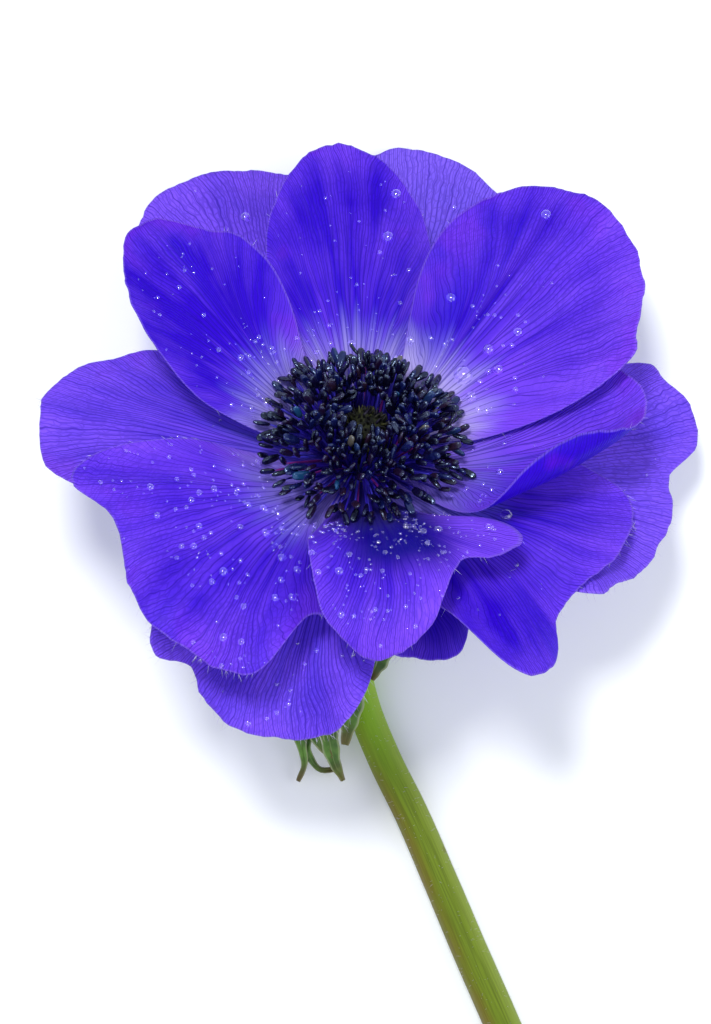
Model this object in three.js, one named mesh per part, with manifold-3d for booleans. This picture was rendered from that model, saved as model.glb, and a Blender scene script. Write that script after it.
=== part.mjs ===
// A semi-double anemone flower, picked with a length of stem and laid on its back on a table.
// Millimetres, +Z up. The stem lies along -Y and the flower looks up and a little towards the stem's end.
import * as THREE from "three";
import { mergeVertices } from "three/addons/utils/BufferGeometryUtils.js";
import Module from "manifold-3d";

const wasm = await Module();
wasm.setup();

// Driving dimensions
const HEART = new THREE.Vector3(-1.2, 41, 24.4); // middle of the flower, where petals and stamens meet
const FLOWER_TILT = 35; // degrees that the flower's axis leans from the vertical, away from the stem
const FLOWER_LEAN = 5; // degrees that it also leans to the right
const PETAL_THICKNESS = 0.7;
const PETAL_FOOT = 1.5; // half the width of a petal where it joins
const PETAL_RING = 3.9; // radius at which the petals join
const STEM_RADIUS = 2.5;
const STEM_SIDES = 12;
const BRACT_THICKNESS = 0.8;
const STAMEN_COUNT = 81;
const ANTHER_LENGTH = 3;
const ANTHER_RADIUS = 0.75;
const FILAMENT_RADIUS = 0.4;
const PISTIL_RADIUS = 3.9;
const PISTIL_HEIGHT = 6.4;
const CARPEL_COUNT = 22;
const GOLDEN_ANGLE = Math.PI * (3 - Math.sqrt(5));

// Colours
const paint = (color, roughness) => new THREE.MeshStandardMaterial({ color, roughness, metalness: 0 });
const PETAL_BLUE = paint(0x4619d7, 0.55);
const STAMEN_BLACK = paint(0x14121f, 0.4);
const PISTIL_DARK = paint(0x2b3322, 0.8);
const STEM_GREEN = paint(0x6d9a2e, 0.6);
const LEAF_GREEN = paint(0x4f6b35, 0.7);

const flower = new THREE.Group();

function addMesh(name, geometry, look) {
  const mesh = new THREE.Mesh(geometry, look);
  mesh.name = name;
  flower.add(mesh);
}

// The flower's own axes: Z out of its face, Y away from the stem, X to the right
const lean = THREE.MathUtils.degToRad(FLOWER_LEAN);
const tilt = THREE.MathUtils.degToRad(FLOWER_TILT);
const faceAxis = new THREE.Vector3(
  Math.sin(lean),
  Math.cos(lean) * Math.sin(tilt),
  Math.cos(lean) * Math.cos(tilt),
);
const upAxis = new THREE.Vector3(0, 1, 0).addScaledVector(faceAxis, -faceAxis.y).normalize();
const rightAxis = new THREE.Vector3().crossVectors(upAxis, faceAxis);
const flowerToPart = new THREE.Matrix4().makeBasis(rightAxis, upAxis, faceAxis).setPosition(HEART);

// Value at share x (0 to 1) of a smooth curve through evenly spaced stations
function through(stations, x) {
  const n = stations.length - 1;
  const place = THREE.MathUtils.clamp(x, 0, 1) * n;
  const i = Math.min(Math.floor(place), n - 1);
  const f = place - i;
  const p1 = stations[i];
  const p2 = stations[i + 1];
  const p0 = i > 0 ? stations[i - 1] : 2 * p1 - p2;
  const p3 = i + 2 <= n ? stations[i + 2] : 2 * p2 - p1;
  const b = p2 - p0;
  const c = 2 * p0 - 5 * p1 + 4 * p2 - p3;
  const d = 3 * p1 - p0 - 3 * p2 + p3;
  return 0.5 * (2 * p1 + b * f + c * f * f + d * f * f * f);
}

function meshOf(positions, faces) {
  const geometry = new THREE.BufferGeometry();
  geometry.setAttribute("position", new THREE.Float32BufferAttribute(positions, 3));
  geometry.setIndex(faces.flat());
  geometry.computeVertexNormals();
  return geometry;
}

// A closed blade of even thickness from rows of points, with both faces split alike.
// Nothing of it goes below the table.
function blade(rows, thickness) {
  const rowCount = rows.length;
  const columnCount = rows[0].length;
  const row = (i) => rows[THREE.MathUtils.clamp(i, 0, rowCount - 1)];
  const at = (i, j) => row(i)[THREE.MathUtils.clamp(j, 0, columnCount - 1)];
  const positions = [];
  for (const side of [0.5, -0.5]) {
    for (let i = 0; i < rowCount; i++) {
      for (let j = 0; j < columnCount; j++) {
        const alongRows = new THREE.Vector3().subVectors(at(i + 1, j), at(i - 1, j));
        const alongColumns = new THREE.Vector3().subVectors(at(i, j + 1), at(i, j - 1));
        const normal = new THREE.Vector3().crossVectors(alongRows, alongColumns).normalize();
        const point = at(i, j).clone().addScaledVector(normal, side * thickness);
        positions.push(point.x, point.y, Math.max(point.z, 0));
      }
    }
  }
  const under = rowCount * columnCount;
  const id = (i, j) => i * columnCount + j;
  const faces = [];
  for (let i = 0; i + 1 < rowCount; i++) {
    for (let j = 0; j + 1 < columnCount; j++) {
      const [a, b, c, d] = [id(i, j), id(i + 1, j), id(i + 1, j + 1), id(i, j + 1)];
      faces.push([a, b, c], [a, c, d]);
      faces.push([a + under, c + under, b + under], [a + under, d + under, c + under]);
    }
  }
  const rim = [];
  for (let j = 0; j < columnCount; j++) rim.push(id(0, j));
  for (let i = 1; i < rowCount; i++) rim.push(id(i, columnCount - 1));
  for (let j = columnCount - 2; j >= 0; j--) rim.push(id(rowCount - 1, j));
  for (let i = rowCount - 2; i > 0; i--) rim.push(id(i, 0));
  for (let k = 0; k < rim.length; k++) {
    const a = rim[k];
    const b = rim[(k + 1) % rim.length];
    faces.push([a, b, b + under], [a, b + under, a + under]);
  }
  return meshOf(positions, faces);
}

// A closed body through rings of points, flat at both ends.
// Seen along the body, each ring's points turn clockwise.
function skin(rings) {
  const sides = rings[0].length;
  const positions = rings.flat().flatMap((p) => [p.x, p.y, p.z]);
  const faces = [];
  for (let i = 0; i + 1 < rings.length; i++) {
    for (let j = 0; j < sides; j++) {
      const a = i * sides + j;
      const b = i * sides + ((j + 1) % sides);
      faces.push([a, b + sides, b], [a, a + sides, b + sides]);
    }
  }
  const last = (rings.length - 1) * sides;
  for (let j = 1; j + 1 < sides; j++) {
    faces.push([0, j, j + 1], [last, last + j + 1, last + j]);
  }
  return meshOf(positions, faces);
}

// A ring of points round a place, across a direction
function ring(place, direction, radius, sides, turn = 0) {
  const across = new THREE.Vector3().crossVectors(direction, new THREE.Vector3(0, 0, 1)).normalize();
  const over = new THREE.Vector3().crossVectors(across, direction).normalize();
  return Array.from({ length: sides }, (_, k) => {
    const angle = (2 * Math.PI * (k + 0.5)) / sides - Math.PI / 2 + turn;
    return place
      .clone()
      .addScaledVector(across, radius * Math.cos(angle))
      .addScaledVector(over, radius * Math.sin(angle));
  });
}

function toSolid(geometry) {
  const bare = geometry.clone();
  bare.deleteAttribute("normal");
  bare.deleteAttribute("uv");
  const merged = mergeVertices(bare, 1e-4);
  const triVerts = new Uint32Array(merged.index.array);
  return new wasm.Manifold(
    new wasm.Mesh({ numProp: 3, vertProperties: merged.attributes.position.array, triVerts }),
  );
}

function joined(geometries) {
  let solid = toSolid(geometries[0]);
  for (const geometry of geometries.slice(1)) solid = solid.add(toSolid(geometry));
  const mesh = solid.getMesh();
  return meshOf([...mesh.vertProperties], [[...mesh.triVerts]]);
}

// Petals
// azimuth: direction of the petal round the flower in degrees, 0 to the right, 90 to the top
// length, left and right: size of the flat petal from foot to tip and from rib to each side
// widest: share of the length at which it is widest; blunt: how square the tip is
// fullLeft, fullRight: above 0.9 the side is hollowed near the foot
// margin: reach of the outline at even places from the right foot over the tip to the left foot
// rise: slope of the rib above the flower's plane in degrees, from foot to tip
// swing: how far the rib turns sideways in degrees, from foot to tip
// cupLeft, cupRight: bend of each half towards the face in degrees, from foot to tip
// hookRight: further bend close to the right side
// ruffle: waves of the margin as [height, number, start]; seat: height of the foot
const PETALS = {
  petal_top: {
    azimuth: 91.5, length: 45, left: 12, right: 12, blunt: 1.9, seat: -1.5,
    rise: [18, 20, 16, 12], cupLeft: [10, 20], cupRight: [10, 20], ruffle: [0.4, 1.5, 0.2],
  },
  petal_upper_left: {
    margin: [1, 1, 1, 1.03, 1, 0.93, 0.93, 0.97, 0.96, 0.92, 0.9, 0.9, 0.91, 0.95, 1, 1, 1],
    azimuth: 143, length: 43.5, left: 12, right: 12, fullRight: 1.8, seat: -0.5, swing: [0, -6],
    rise: [22, 28, 22, 10], cupLeft: [10, 20], cupRight: [10, 20], ruffle: [0.5, 1.5, 0.6],
  },
  petal_upper_right: {
    margin: [1, 1, 1.08, 1.08, 1, 0.97, 0.97, 0.99, 1.01, 1, 1, 1, 0.99, 1, 1, 1, 1],
    azimuth: 40, length: 46.5, left: 15, right: 18, widest: 0.64, fullLeft: 1.6, seat: -0.5,
    rise: [22, 28, 22, 8], cupLeft: [10, 20], cupRight: [10, 20], ruffle: [0.6, 1.8, 0.1],
  },
  petal_right_folded: {
    margin: [1, 1, 1, 0.98, 0.97, 0.95, 0.94, 0.97, 1, 1, 1, 1, 1, 1, 1, 1, 1],
    azimuth: 1, length: 37.5, left: 9, right: 17, fullRight: 1.35, seat: -1.5,
    swing: [-16, 7, 42],
    rise: [16, 21, 20, 18], cupLeft: [10, 20], cupRight: [10, 34, 74, 100], hookRight: [0, 60, 120, 150],
  },
  petal_bottom: {
    margin: [1, 1, 1, 1, 1.05, 1.05, 1.05, 1.01, 0.92, 0.76, 0.68, 0.75, 0.82, 0.91, 0.9, 1, 1],
    azimuth: -81, length: 37, left: 19, right: 13, fullLeft: 2.8, seat: -0.2,
    rise: [8, 38, 4, -60], cupLeft: [0, -5, -20, -20], cupRight: [0, 0], ruffle: [0.8, 1.5, 0.3],
  },
  petal_lower_left: {
    margin: [1, 1, 1.03, 1.2, 1.16, 0.98, 0.96, 1, 1.04, 1.04, 1.07, 1.09, 0.88, 0.94, 1, 1, 1],
    azimuth: 226, length: 38.5, left: 16, right: 20, fullLeft: 1.2, seat: -1.5,
    rise: [13, 21, 1, -20], cupLeft: [0, 0, -10, -20], cupRight: [10, 20], ruffle: [1.2, 2.4, 0.35],
  },
  back_petal_top_left: {
    margin: [1, 1, 1.1, 1.14, 1.13, 1.06, 1.01, 0.99, 0.98, 0.97, 0.94, 0.93, 0.93, 0.94, 0.97, 1, 1],
    azimuth: 118, length: 50.5, left: 16, right: 16, seat: -3.5,
    rise: [9, 7, 5, 2], cupLeft: [0, 10], cupRight: [0, 10], ruffle: [0.6, 1.6, 0.5],
  },
  back_petal_top_right: {
    margin: [1, 1, 1, 1, 1, 0.97, 0.96, 0.96, 0.98, 0.98, 0.98, 1, 1, 1, 1, 1, 1],
    azimuth: 74, length: 49.5, left: 16, right: 16, seat: -2.5,
    rise: [13, 11, 11, 9], cupLeft: [0, 10], cupRight: [0, 10], ruffle: [0.7, 1.6, 0],
  },
  back_petal_right: {
    margin: [1, 1, 1, 1.03, 0.94, 0.9, 0.9, 0.9, 0.91, 0.92, 1.06, 1.1, 1.1, 1.18, 1.05, 1, 1],
    azimuth: -8, length: 44.5, left: 20, right: 17, widest: 0.66, fullRight: 1.5, seat: -3.7,
    rise: [6, 0, -4, -8], cupLeft: [0, 10], cupRight: [0, 10], ruffle: [1.2, 1.8, 0.3],
  },
  back_petal_lower_right: {
    margin: [1, 1, 1, 0.95, 1.18, 1.15, 1.04, 0.9, 0.88, 0.93, 0.98, 1.04, 1.08, 1, 1, 1, 1],
    azimuth: -37, length: 37, left: 17, right: 16, seat: -2.5,
    rise: [14, 8, -4, -15], cupLeft: [0, 10], cupRight: [0, 10], ruffle: [1.2, 1.6, 0],
  },
  back_petal_bottom: {
    margin: [1, 1, 1, 1, 1, 0.97, 0.93, 0.93, 0.93, 0.86, 0.9, 0.95, 1, 1, 1, 1, 1],
    azimuth: -63, length: 28, left: 11, right: 11, fullLeft: 1.5, seat: -3.7,
    rise: [0, -12, -24, -50], cupLeft: [0, 10], cupRight: [0, 10], ruffle: [0.8, 2.2, 0.3],
  },
  back_petal_lower_left: {
    margin: [1, 1, 1, 1, 1, 1, 0.89, 0.92, 0.96, 0.97, 0.99, 1.04, 1.12, 1.12, 1.03, 1, 1],
    azimuth: -118, length: 41, left: 14, right: 16, seat: -2.6,
    rise: [4, -8, -20, -30], cupLeft: [0, 10], cupRight: [0, 10], ruffle: [1.3, 2, 0.2],
  },
  back_petal_left: {
    margin: [1, 1, 1, 1.04, 1, 1, 0.99, 1, 0.99, 0.99, 0.96, 0.9, 0.92, 1, 1, 1, 1],
    azimuth: 176, length: 42, left: 14, right: 14, fullLeft: 1.2, seat: -2.5,
    rise: [13, 10, 4, 0], cupLeft: [0, 10], cupRight: [0, 10], ruffle: [0.7, 1.5, 0.4],
  },
};
const TIP_SHARE = 0.62; // share of the margin that runs round the tip, the rest runs down the side
const RIB_STEPS = 60;
const PETAL_ROWS = 8;
const PETAL_COLUMNS = 18;

// Point of the flat petal at share u from foot to margin and t from right (-1) to left (1)
function flatPetal(p, u, t) {
  const spread = Math.abs(t);
  const half = t > 0 ? p.left : p.right;
  const full = (t > 0 ? p.fullLeft : p.fullRight) ?? 0.9;
  const widest = p.widest ?? 0.6;
  const power = 2 / (p.blunt ?? 2.2);
  let marginX;
  let marginY;
  if (spread < TIP_SHARE) {
    const angle = ((spread / TIP_SHARE) * Math.PI) / 2;
    marginX = half * Math.sin(angle) ** power;
    marginY = p.length * (widest + (1 - widest) * Math.cos(angle) ** power);
  } else {
    const upSide = 1 - (0.78 * (spread - TIP_SHARE)) / (1 - TIP_SHARE);
    marginX = PETAL_FOOT + (half - PETAL_FOOT) * Math.sin((Math.PI / 2) * upSide) ** full;
    marginY = p.length * widest * upSide;
  }
  const reach = p.margin ? through(p.margin, (t + 1) / 2) : 1;
  marginX *= reach;
  marginY *= reach;
  const footX = spread * PETAL_FOOT;
  const hollow = 1 + Math.min(1.6 * Math.max(full - 1, 0), 2) * Math.min(spread / TIP_SHARE, 1);
  const outward = (0.6 * u + 0.4 * u ** 2) ** hollow;
  const x = footX + (marginX - footX) * outward;
  const y = marginY * (1.24 * u - 0.24 * u ** 2);
  return { x: Math.sign(t) * x, y };
}

// Frames along a petal's rib, which reaches a quarter further than the petal's length
function ribFrames(p) {
  const frames = [];
  const step = (1.25 * p.length) / RIB_STEPS;
  const azimuth = THREE.MathUtils.degToRad(p.azimuth);
  const place = new THREE.Vector3(PETAL_RING * Math.cos(azimuth), PETAL_RING * Math.sin(azimuth), p.seat);
  let before = null;
  for (let i = 0; i <= RIB_STEPS; i++) {
    const s = (1.25 * i) / RIB_STEPS;
    const rise = THREE.MathUtils.degToRad(through(p.rise, s));
    const heading = azimuth + THREE.MathUtils.degToRad(p.swing ? through(p.swing, s) : 0);
    const along = new THREE.Vector3(
      Math.cos(rise) * Math.cos(heading),
      Math.cos(rise) * Math.sin(heading),
      Math.sin(rise),
    );
    if (before) place.addScaledVector(before, step / 2).addScaledVector(along, step / 2);
    before = along;
    const across = new THREE.Vector3(-Math.sin(heading), Math.cos(heading), 0);
    const face = new THREE.Vector3().crossVectors(along, across);
    frames.push({ place: place.clone(), across, face });
  }
  return frames;
}

function petalPoint(p, frames, u, t) {
  const { x, y } = flatPetal(p, u, t);
  const share = y / p.length;
  const position = Math.min((share / 1.25) * RIB_STEPS, RIB_STEPS - 1e-6);
  const i = Math.floor(position);
  const f = position - i;
  const mix = (key) => frames[i][key].clone().lerp(frames[i + 1][key], f);
  const half = t > 0 ? p.left : p.right;
  const cup = THREE.MathUtils.degToRad(through(t > 0 ? p.cupLeft : p.cupRight, share));
  const hook = THREE.MathUtils.degToRad(t < 0 && p.hookRight ? through(p.hookRight, share) : 0);
  const BEND_STEPS = 12;
  let sideways = 0;
  let raised = 0;
  for (let k = 0; k < BEND_STEPS; k++) {
    const reached = (((k + 0.5) / BEND_STEPS) * Math.abs(x)) / half;
    const angle = cup * reached + hook * reached ** 4;
    sideways += (Math.cos(angle) * Math.abs(x)) / BEND_STEPS;
    raised += (Math.sin(angle) * Math.abs(x)) / BEND_STEPS;
  }
  if (p.ruffle) {
    const [height, number, start] = p.ruffle;
    const fade = u ** 2 * Math.min(share / 0.7, 1) ** 1.5;
    raised += height * fade * Math.sin(2 * Math.PI * (number * t + start));
  }
  return mix("place").addScaledVector(mix("across"), Math.sign(x) * sideways).addScaledVector(mix("face"), raised);
}

function petal(p) {
  const frames = ribFrames(p);
  const rows = [];
  for (let i = 0; i <= PETAL_ROWS; i++) {
    const row = [];
    for (let j = 0; j <= PETAL_COLUMNS; j++) {
      const t = (2 * j) / PETAL_COLUMNS - 1;
      row.push(petalPoint(p, frames, i / PETAL_ROWS, t).applyMatrix4(flowerToPart));
    }
    rows.push(row);
  }
  return blade(rows, PETAL_THICKNESS);
}

for (const [name, p] of Object.entries(PETALS)) addMesh(name, petal(p), PETAL_BLUE);

// Stem: hangs from the flower's back, bends down to the table and lies along it to its cut end.
// Its top end is the receptacle that carries petals, stamens and pistil.
// Places are measured from the heart; those on the table take their height from the radius.
const RECEPTACLE = [
  { down: -0.3, radius: 3.2 },
  { down: 0.8, radius: 3.35 },
  { down: 2.6, radius: 3.35 },
  { down: 4.4, radius: 3.2 },
  { down: 5.8, radius: 2.6 },
  { down: 7.5, radius: 2.25 },
];
const FALLING_STEM = [
  [-1.1, -6.9, -9.6],
  [-1.6, -11, -14.8],
  [-1.9, -15.5, -18.8],
  [-1.8, -20.5, -21.3],
];
const LYING_STEM = [
  [-1.4, -26],
  [-0.6, -31.5],
  [0.5, -36],
  [3.5, -43.5],
  [7.1, -50.8],
  [11.5, -60.9],
  [15.8, -71.1],
  [20.5, -81.8],
  [29, -103],
  [38, -127],
];

function stem() {
  const flatToCentre = Math.cos(Math.PI / STEM_SIDES);
  const places = [];
  for (const { down, radius } of RECEPTACLE) {
    places.push({ at: HEART.clone().addScaledVector(faceAxis, -down), radius });
  }
  for (const [x, y, z] of FALLING_STEM) {
    places.push({ at: HEART.clone().add(new THREE.Vector3(x, y, z)), radius: 0.9 * STEM_RADIUS });
  }
  LYING_STEM.forEach(([x, y], k) => {
    const radius = STEM_RADIUS * (0.92 + (0.16 * k) / (LYING_STEM.length - 1));
    places.push({ at: new THREE.Vector3(HEART.x + x, HEART.y + y, radius * flatToCentre), radius });
  });
  const rings = places.map(({ at, radius }, k) => {
    const next = places[Math.min(k + 1, places.length - 1)].at;
    const previous = places[Math.max(k - 1, 0)].at;
    const direction = new THREE.Vector3().subVectors(next, previous);
    if (k < RECEPTACLE.length - 1) direction.copy(faceAxis).negate();
    if (k >= places.length - LYING_STEM.length) direction.z = 0;
    return ring(at, direction.normalize(), radius, STEM_SIDES);
  });
  return skin(rings);
}

addMesh("stem", stem(), STEM_GREEN);

// Stamens: a dense head of dark anthers on thin filaments, fused round a small core.
// They stand on a golden spiral, upright beside the pistil and spreading over the petals outside.
function spindle(start, end, radius, sides, turn) {
  const direction = new THREE.Vector3().subVectors(end, start).normalize();
  const stations = [
    [0, 0.6],
    [0.45, 1],
    [1, 0.5],
  ];
  const rings = stations.map(([share, width]) =>
    ring(start.clone().lerp(end, share), direction, radius * width, sides, turn),
  );
  return skin(rings);
}

function stamens() {
  const profile = [
    [0, 0.6],
    [3, 0.6],
    [5.2, 2],
    [5.4, 3],
    [0, 3],
  ];
  const core = new THREE.LatheGeometry(profile.map(([r, h]) => new THREE.Vector2(r, h)), 12);
  core.rotateX(Math.PI / 2);
  const pieces = [core];
  for (let i = 0; i < STAMEN_COUNT; i++) {
    const outward = Math.sqrt((i + 0.5) / STAMEN_COUNT); // 0 beside the pistil, 1 outside
    const angle = i * GOLDEN_ANGLE;
    const around = new THREE.Vector3(Math.cos(angle), Math.sin(angle), 0);
    const wobble = Math.sin(i * 12.9898);
    const reach = 6.5 + 7.2 * outward + 0.4 * wobble;
    const height = 10.8 - 5.2 * outward ** 2 + 0.4 * Math.cos(i * 4.1);
    const middle = around.clone().multiplyScalar(reach).setZ(height);
    const foot = around.clone().multiplyScalar(4.3).setZ(2.6 - 0.8 * outward);
    const pointing = new THREE.Vector3().subVectors(middle, foot).normalize();
    pointing.addScaledVector(around, 0.5 * wobble).normalize();
    const half = ANTHER_LENGTH / 2;
    const antherStart = middle.clone().addScaledVector(pointing, -half);
    const antherEnd = middle.clone().addScaledVector(pointing, half);
    pieces.push(spindle(antherStart, antherEnd, ANTHER_RADIUS, 4, i));
    const direction = new THREE.Vector3().subVectors(middle, foot).normalize();
    pieces.push(
      skin([ring(foot, direction, FILAMENT_RADIUS, 3, i), ring(middle, direction, FILAMENT_RADIUS, 3, i)]),
    );
  }
  return joined(pieces).applyMatrix4(flowerToPart);
}

addMesh("stamens", stamens(), STAMEN_BLACK);

// Pistil: a dome set with short pointed carpels
function pistil() {
  const base = 3.4;
  const profile = [[0, base]];
  const STEPS = 4;
  for (let k = 0; k <= STEPS; k++) {
    const angle = (k / STEPS) * (Math.PI / 2);
    const radius = k === STEPS ? 0 : PISTIL_RADIUS * Math.cos(angle);
    profile.push([radius, base + 0.6 + (PISTIL_HEIGHT - 0.6) * Math.sin(angle)]);
  }
  profile.splice(1, 0, [PISTIL_RADIUS, base]);
  const dome = new THREE.LatheGeometry(profile.map(([r, h]) => new THREE.Vector2(r, h)), 12);
  dome.rotateX(Math.PI / 2);
  const pieces = [dome];
  for (let i = 0; i < CARPEL_COUNT; i++) {
    const share = (i + 0.5) / CARPEL_COUNT;
    const polar = Math.acos(1 - 0.86 * share);
    const angle = i * GOLDEN_ANGLE;
    const outward = new THREE.Vector3(
      Math.sin(polar) * Math.cos(angle),
      Math.sin(polar) * Math.sin(angle),
      Math.cos(polar),
    );
    const scale = new THREE.Vector3(PISTIL_RADIUS, PISTIL_RADIUS, PISTIL_HEIGHT - 0.6);
    const onDome = outward.clone().multiply(scale).add(new THREE.Vector3(0, 0, base + 0.6));
    const start = onDome.clone().addScaledVector(outward, -0.9);
    const end = onDome.clone().addScaledVector(outward, 0.7);
    pieces.push(spindle(start, end, 0.5, 4, i));
  }
  return joined(pieces).applyMatrix4(flowerToPart);
}

addMesh("pistil", pistil(), PISTIL_DARK);

// Bracts: three deeply cut leaves in a whorl on the stem below the flower.
// Each lobe is a tapering strip: places from the heart in X and Y and above the table in Z, with half widths.
const BRACTS = {
  bract_left: [
    {
      places: [[-5, -22.5, 5], [-7.2, -28, 7.5], [-8.6, -35, 7.2], [-8.7, -40.5, 5.2], [-8.2, -44.2, 3], [-9.1, -46.6, 1.2]],
      widths: [1.1, 1.3, 1.4, 1.4, 0.6, 0.4],
    },
    {
      places: [[-5, -22.8, 4.8], [-6, -29, 6.2], [-6.9, -36, 5.4], [-7.6, -42.6, 3.2], [-5.8, -45, 1.9], [-3.4, -44.9, 1.2]],
      widths: [1.1, 1.1, 1.1, 1, 0.7, 0.5],
    },
    {
      places: [[-5, -23, 5.4], [-5.6, -29, 8], [-6.4, -36, 8], [-6.3, -40, 6.6], [-4.1, -43, 4.6]],
      widths: [1.1, 1.1, 1.2, 1.2, 0.5],
    },
    {
      places: [[-4.8, -23.2, 5.2], [-5, -30, 7], [-4.8, -38, 7], [-3.9, -43.4, 4.6], [-2.6, -46.5, 2.2]],
      widths: [1.1, 1.1, 1.5, 1.2, 0.4],
    },
  ],
  bract_front: [
    {
      places: [[-1.8, -22.6, 6.2], [-1.2, -28, 9.8], [-1.3, -35, 10], [-2.3, -41, 8.2]],
      widths: [1.1, 1.3, 1.7, 0.6],
    },
    {
      places: [[-1.7, -22.4, 6.4], [1.2, -23.5, 10], [2.6, -27, 10.6], [1.4, -31.6, 8.6]],
      widths: [1.1, 1.5, 1.9, 0.7],
    },
  ],
  bract_right: [
    {
      places: [[1.4, -20.4, 3.4], [5.5, -19, 5.6], [10.5, -19.5, 5.2], [15, -22, 2.4]],
      widths: [1.2, 1.3, 1.4, 0.5],
    },
    {
      places: [[1.4, -20.8, 3.6], [4, -21.8, 5.6], [6.4, -23.8, 5.6], [8, -26.2, 3.8]],
      widths: [1.2, 1.2, 1.4, 0.5],
    },
  ],
};
const LOBE_ROWS = 8;

function lobe({ places, widths }) {
  const points = places.map(([x, y, z]) => new THREE.Vector3(HEART.x + x, HEART.y + y, z));
  const line = new THREE.CatmullRomCurve3(points, false, "centripetal");
  const rows = [];
  for (let i = 0; i <= LOBE_ROWS; i++) {
    const share = i / LOBE_ROWS;
    const place = line.getPoint(share);
    const along = line.getTangent(share);
    const across = new THREE.Vector3().crossVectors(new THREE.Vector3(0, 0, 1), along).normalize();
    const width = through(widths, share);
    const sag = new THREE.Vector3(0, 0, -0.25 * width);
    rows.push([
      place.clone().addScaledVector(across, -width),
      place.clone().add(sag),
      place.clone().addScaledVector(across, width),
    ]);
  }
  return blade(rows, BRACT_THICKNESS);
}

for (const [name, lobes] of Object.entries(BRACTS)) addMesh(name, joined(lobes.map(lobe)), LEAF_GREEN);

export default flower;
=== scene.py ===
import random
from math import cos, pi, radians, sin, sqrt

import bmesh
import bpy
import numpy as np
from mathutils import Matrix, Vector, noise
from mathutils.bvhtree import BVHTree


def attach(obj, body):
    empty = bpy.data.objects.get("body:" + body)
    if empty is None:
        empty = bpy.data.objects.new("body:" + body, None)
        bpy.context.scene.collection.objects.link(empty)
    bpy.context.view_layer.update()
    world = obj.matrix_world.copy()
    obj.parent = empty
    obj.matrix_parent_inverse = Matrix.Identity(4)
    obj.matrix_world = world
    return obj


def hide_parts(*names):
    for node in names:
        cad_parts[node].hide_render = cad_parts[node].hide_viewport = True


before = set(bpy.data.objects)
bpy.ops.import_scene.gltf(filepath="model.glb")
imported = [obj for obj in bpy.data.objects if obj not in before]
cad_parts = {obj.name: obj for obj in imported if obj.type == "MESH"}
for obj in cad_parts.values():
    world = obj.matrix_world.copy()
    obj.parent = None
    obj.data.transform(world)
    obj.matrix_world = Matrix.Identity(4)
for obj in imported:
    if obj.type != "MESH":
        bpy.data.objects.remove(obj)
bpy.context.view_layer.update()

# Studio
# A pale table top, a camera straight above it, and soft lamps, the main one beyond the flower's top.
# The camera stands 600 mm above the flower's heart, so the flower has the outline that it shows upright.
MM = 0.001
HEART = np.array([-1.2, 41, 24.4])  # middle of the flower, in mm
CAMERA_PLACE = (-0.77, -7.56, 600)  # from the heart, in mm
FOCAL_LENGTH = 150.7  # mm, which shows 0.14 mm of the heart in each point of the picture
TABLE_SIDE = 3.0  # metres
TABLE_LEVEL = -0.00002  # metres, just under what lies on it


def shade(red, green, blue):
    """A colour that was measured in 0 to 255 steps, as a linear one for a shader."""
    steps = [value / 255 for value in (red, green, blue)]
    return (*(s / 12.92 if s <= 0.04045 else ((s + 0.055) / 1.055) ** 2.4 for s in steps), 1)


scene = bpy.context.scene
scene.view_settings.view_transform = "Standard"
scene.view_settings.look = "None"

lens = bpy.data.cameras.new("camera")
lens.lens = FOCAL_LENGTH
lens.sensor_width = 36
lens.clip_start = 0.01
camera = bpy.data.objects.new("camera", lens)
camera.location = Vector(HEART + CAMERA_PLACE) * MM
scene.collection.objects.link(camera)
scene.camera = camera

table_mesh = bpy.data.meshes.new("table_top")
corners = ((-1, -1), (1, -1), (1, 1), (-1, 1))
table_mesh.from_pydata(
    [(x * TABLE_SIDE / 2, y * TABLE_SIDE / 2, TABLE_LEVEL) for x, y in corners], [], [(0, 1, 2, 3)]
)
table_top = bpy.data.objects.new("table_top", table_mesh)
scene.collection.objects.link(table_top)

table_white = bpy.data.materials.new("table white")
table_white.use_nodes = True
table_shader = table_white.node_tree.nodes["Principled BSDF"]
table_shader.inputs["Base Color"].default_value = (0.94, 0.965, 0.98, 1)
table_shader.inputs["Roughness"].default_value = 0.7
table_mesh.materials.append(table_white)


FLOWER = (0, 0.04, 0.02)  # what the lamps light, in metres
DAYLIGHT = (0.96, 0.98, 1)


def lamp(name, place, width, watts, colour=(1, 1, 1)):
    """A square soft box at a place in metres, turned to the flower."""
    light = bpy.data.lights.new(name, "AREA")
    light.size = width
    light.energy = watts
    light.color = colour
    box = bpy.data.objects.new(name, light)
    box.location = place
    box.rotation_euler = (Vector(FLOWER) - Vector(place)).to_track_quat("-Z", "Y").to_euler()
    scene.collection.objects.link(box)


lamp("main_box", (-0.16, 0.5, 1.2), 0.24, 10)
lamp("side_box", (0.6, 0.0, 0.5), 0.6, 1.8, DAYLIGHT)
lamp("front_box", (-0.25, -0.6, 0.55), 0.6, 1.4, DAYLIGHT)

world = bpy.data.worlds.new("room")
world.use_nodes = True
world.node_tree.nodes["Background"].inputs["Color"].default_value = (0.93, 0.96, 1, 1)
world.node_tree.nodes["Background"].inputs["Strength"].default_value = 0.62
scene.world = world

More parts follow.
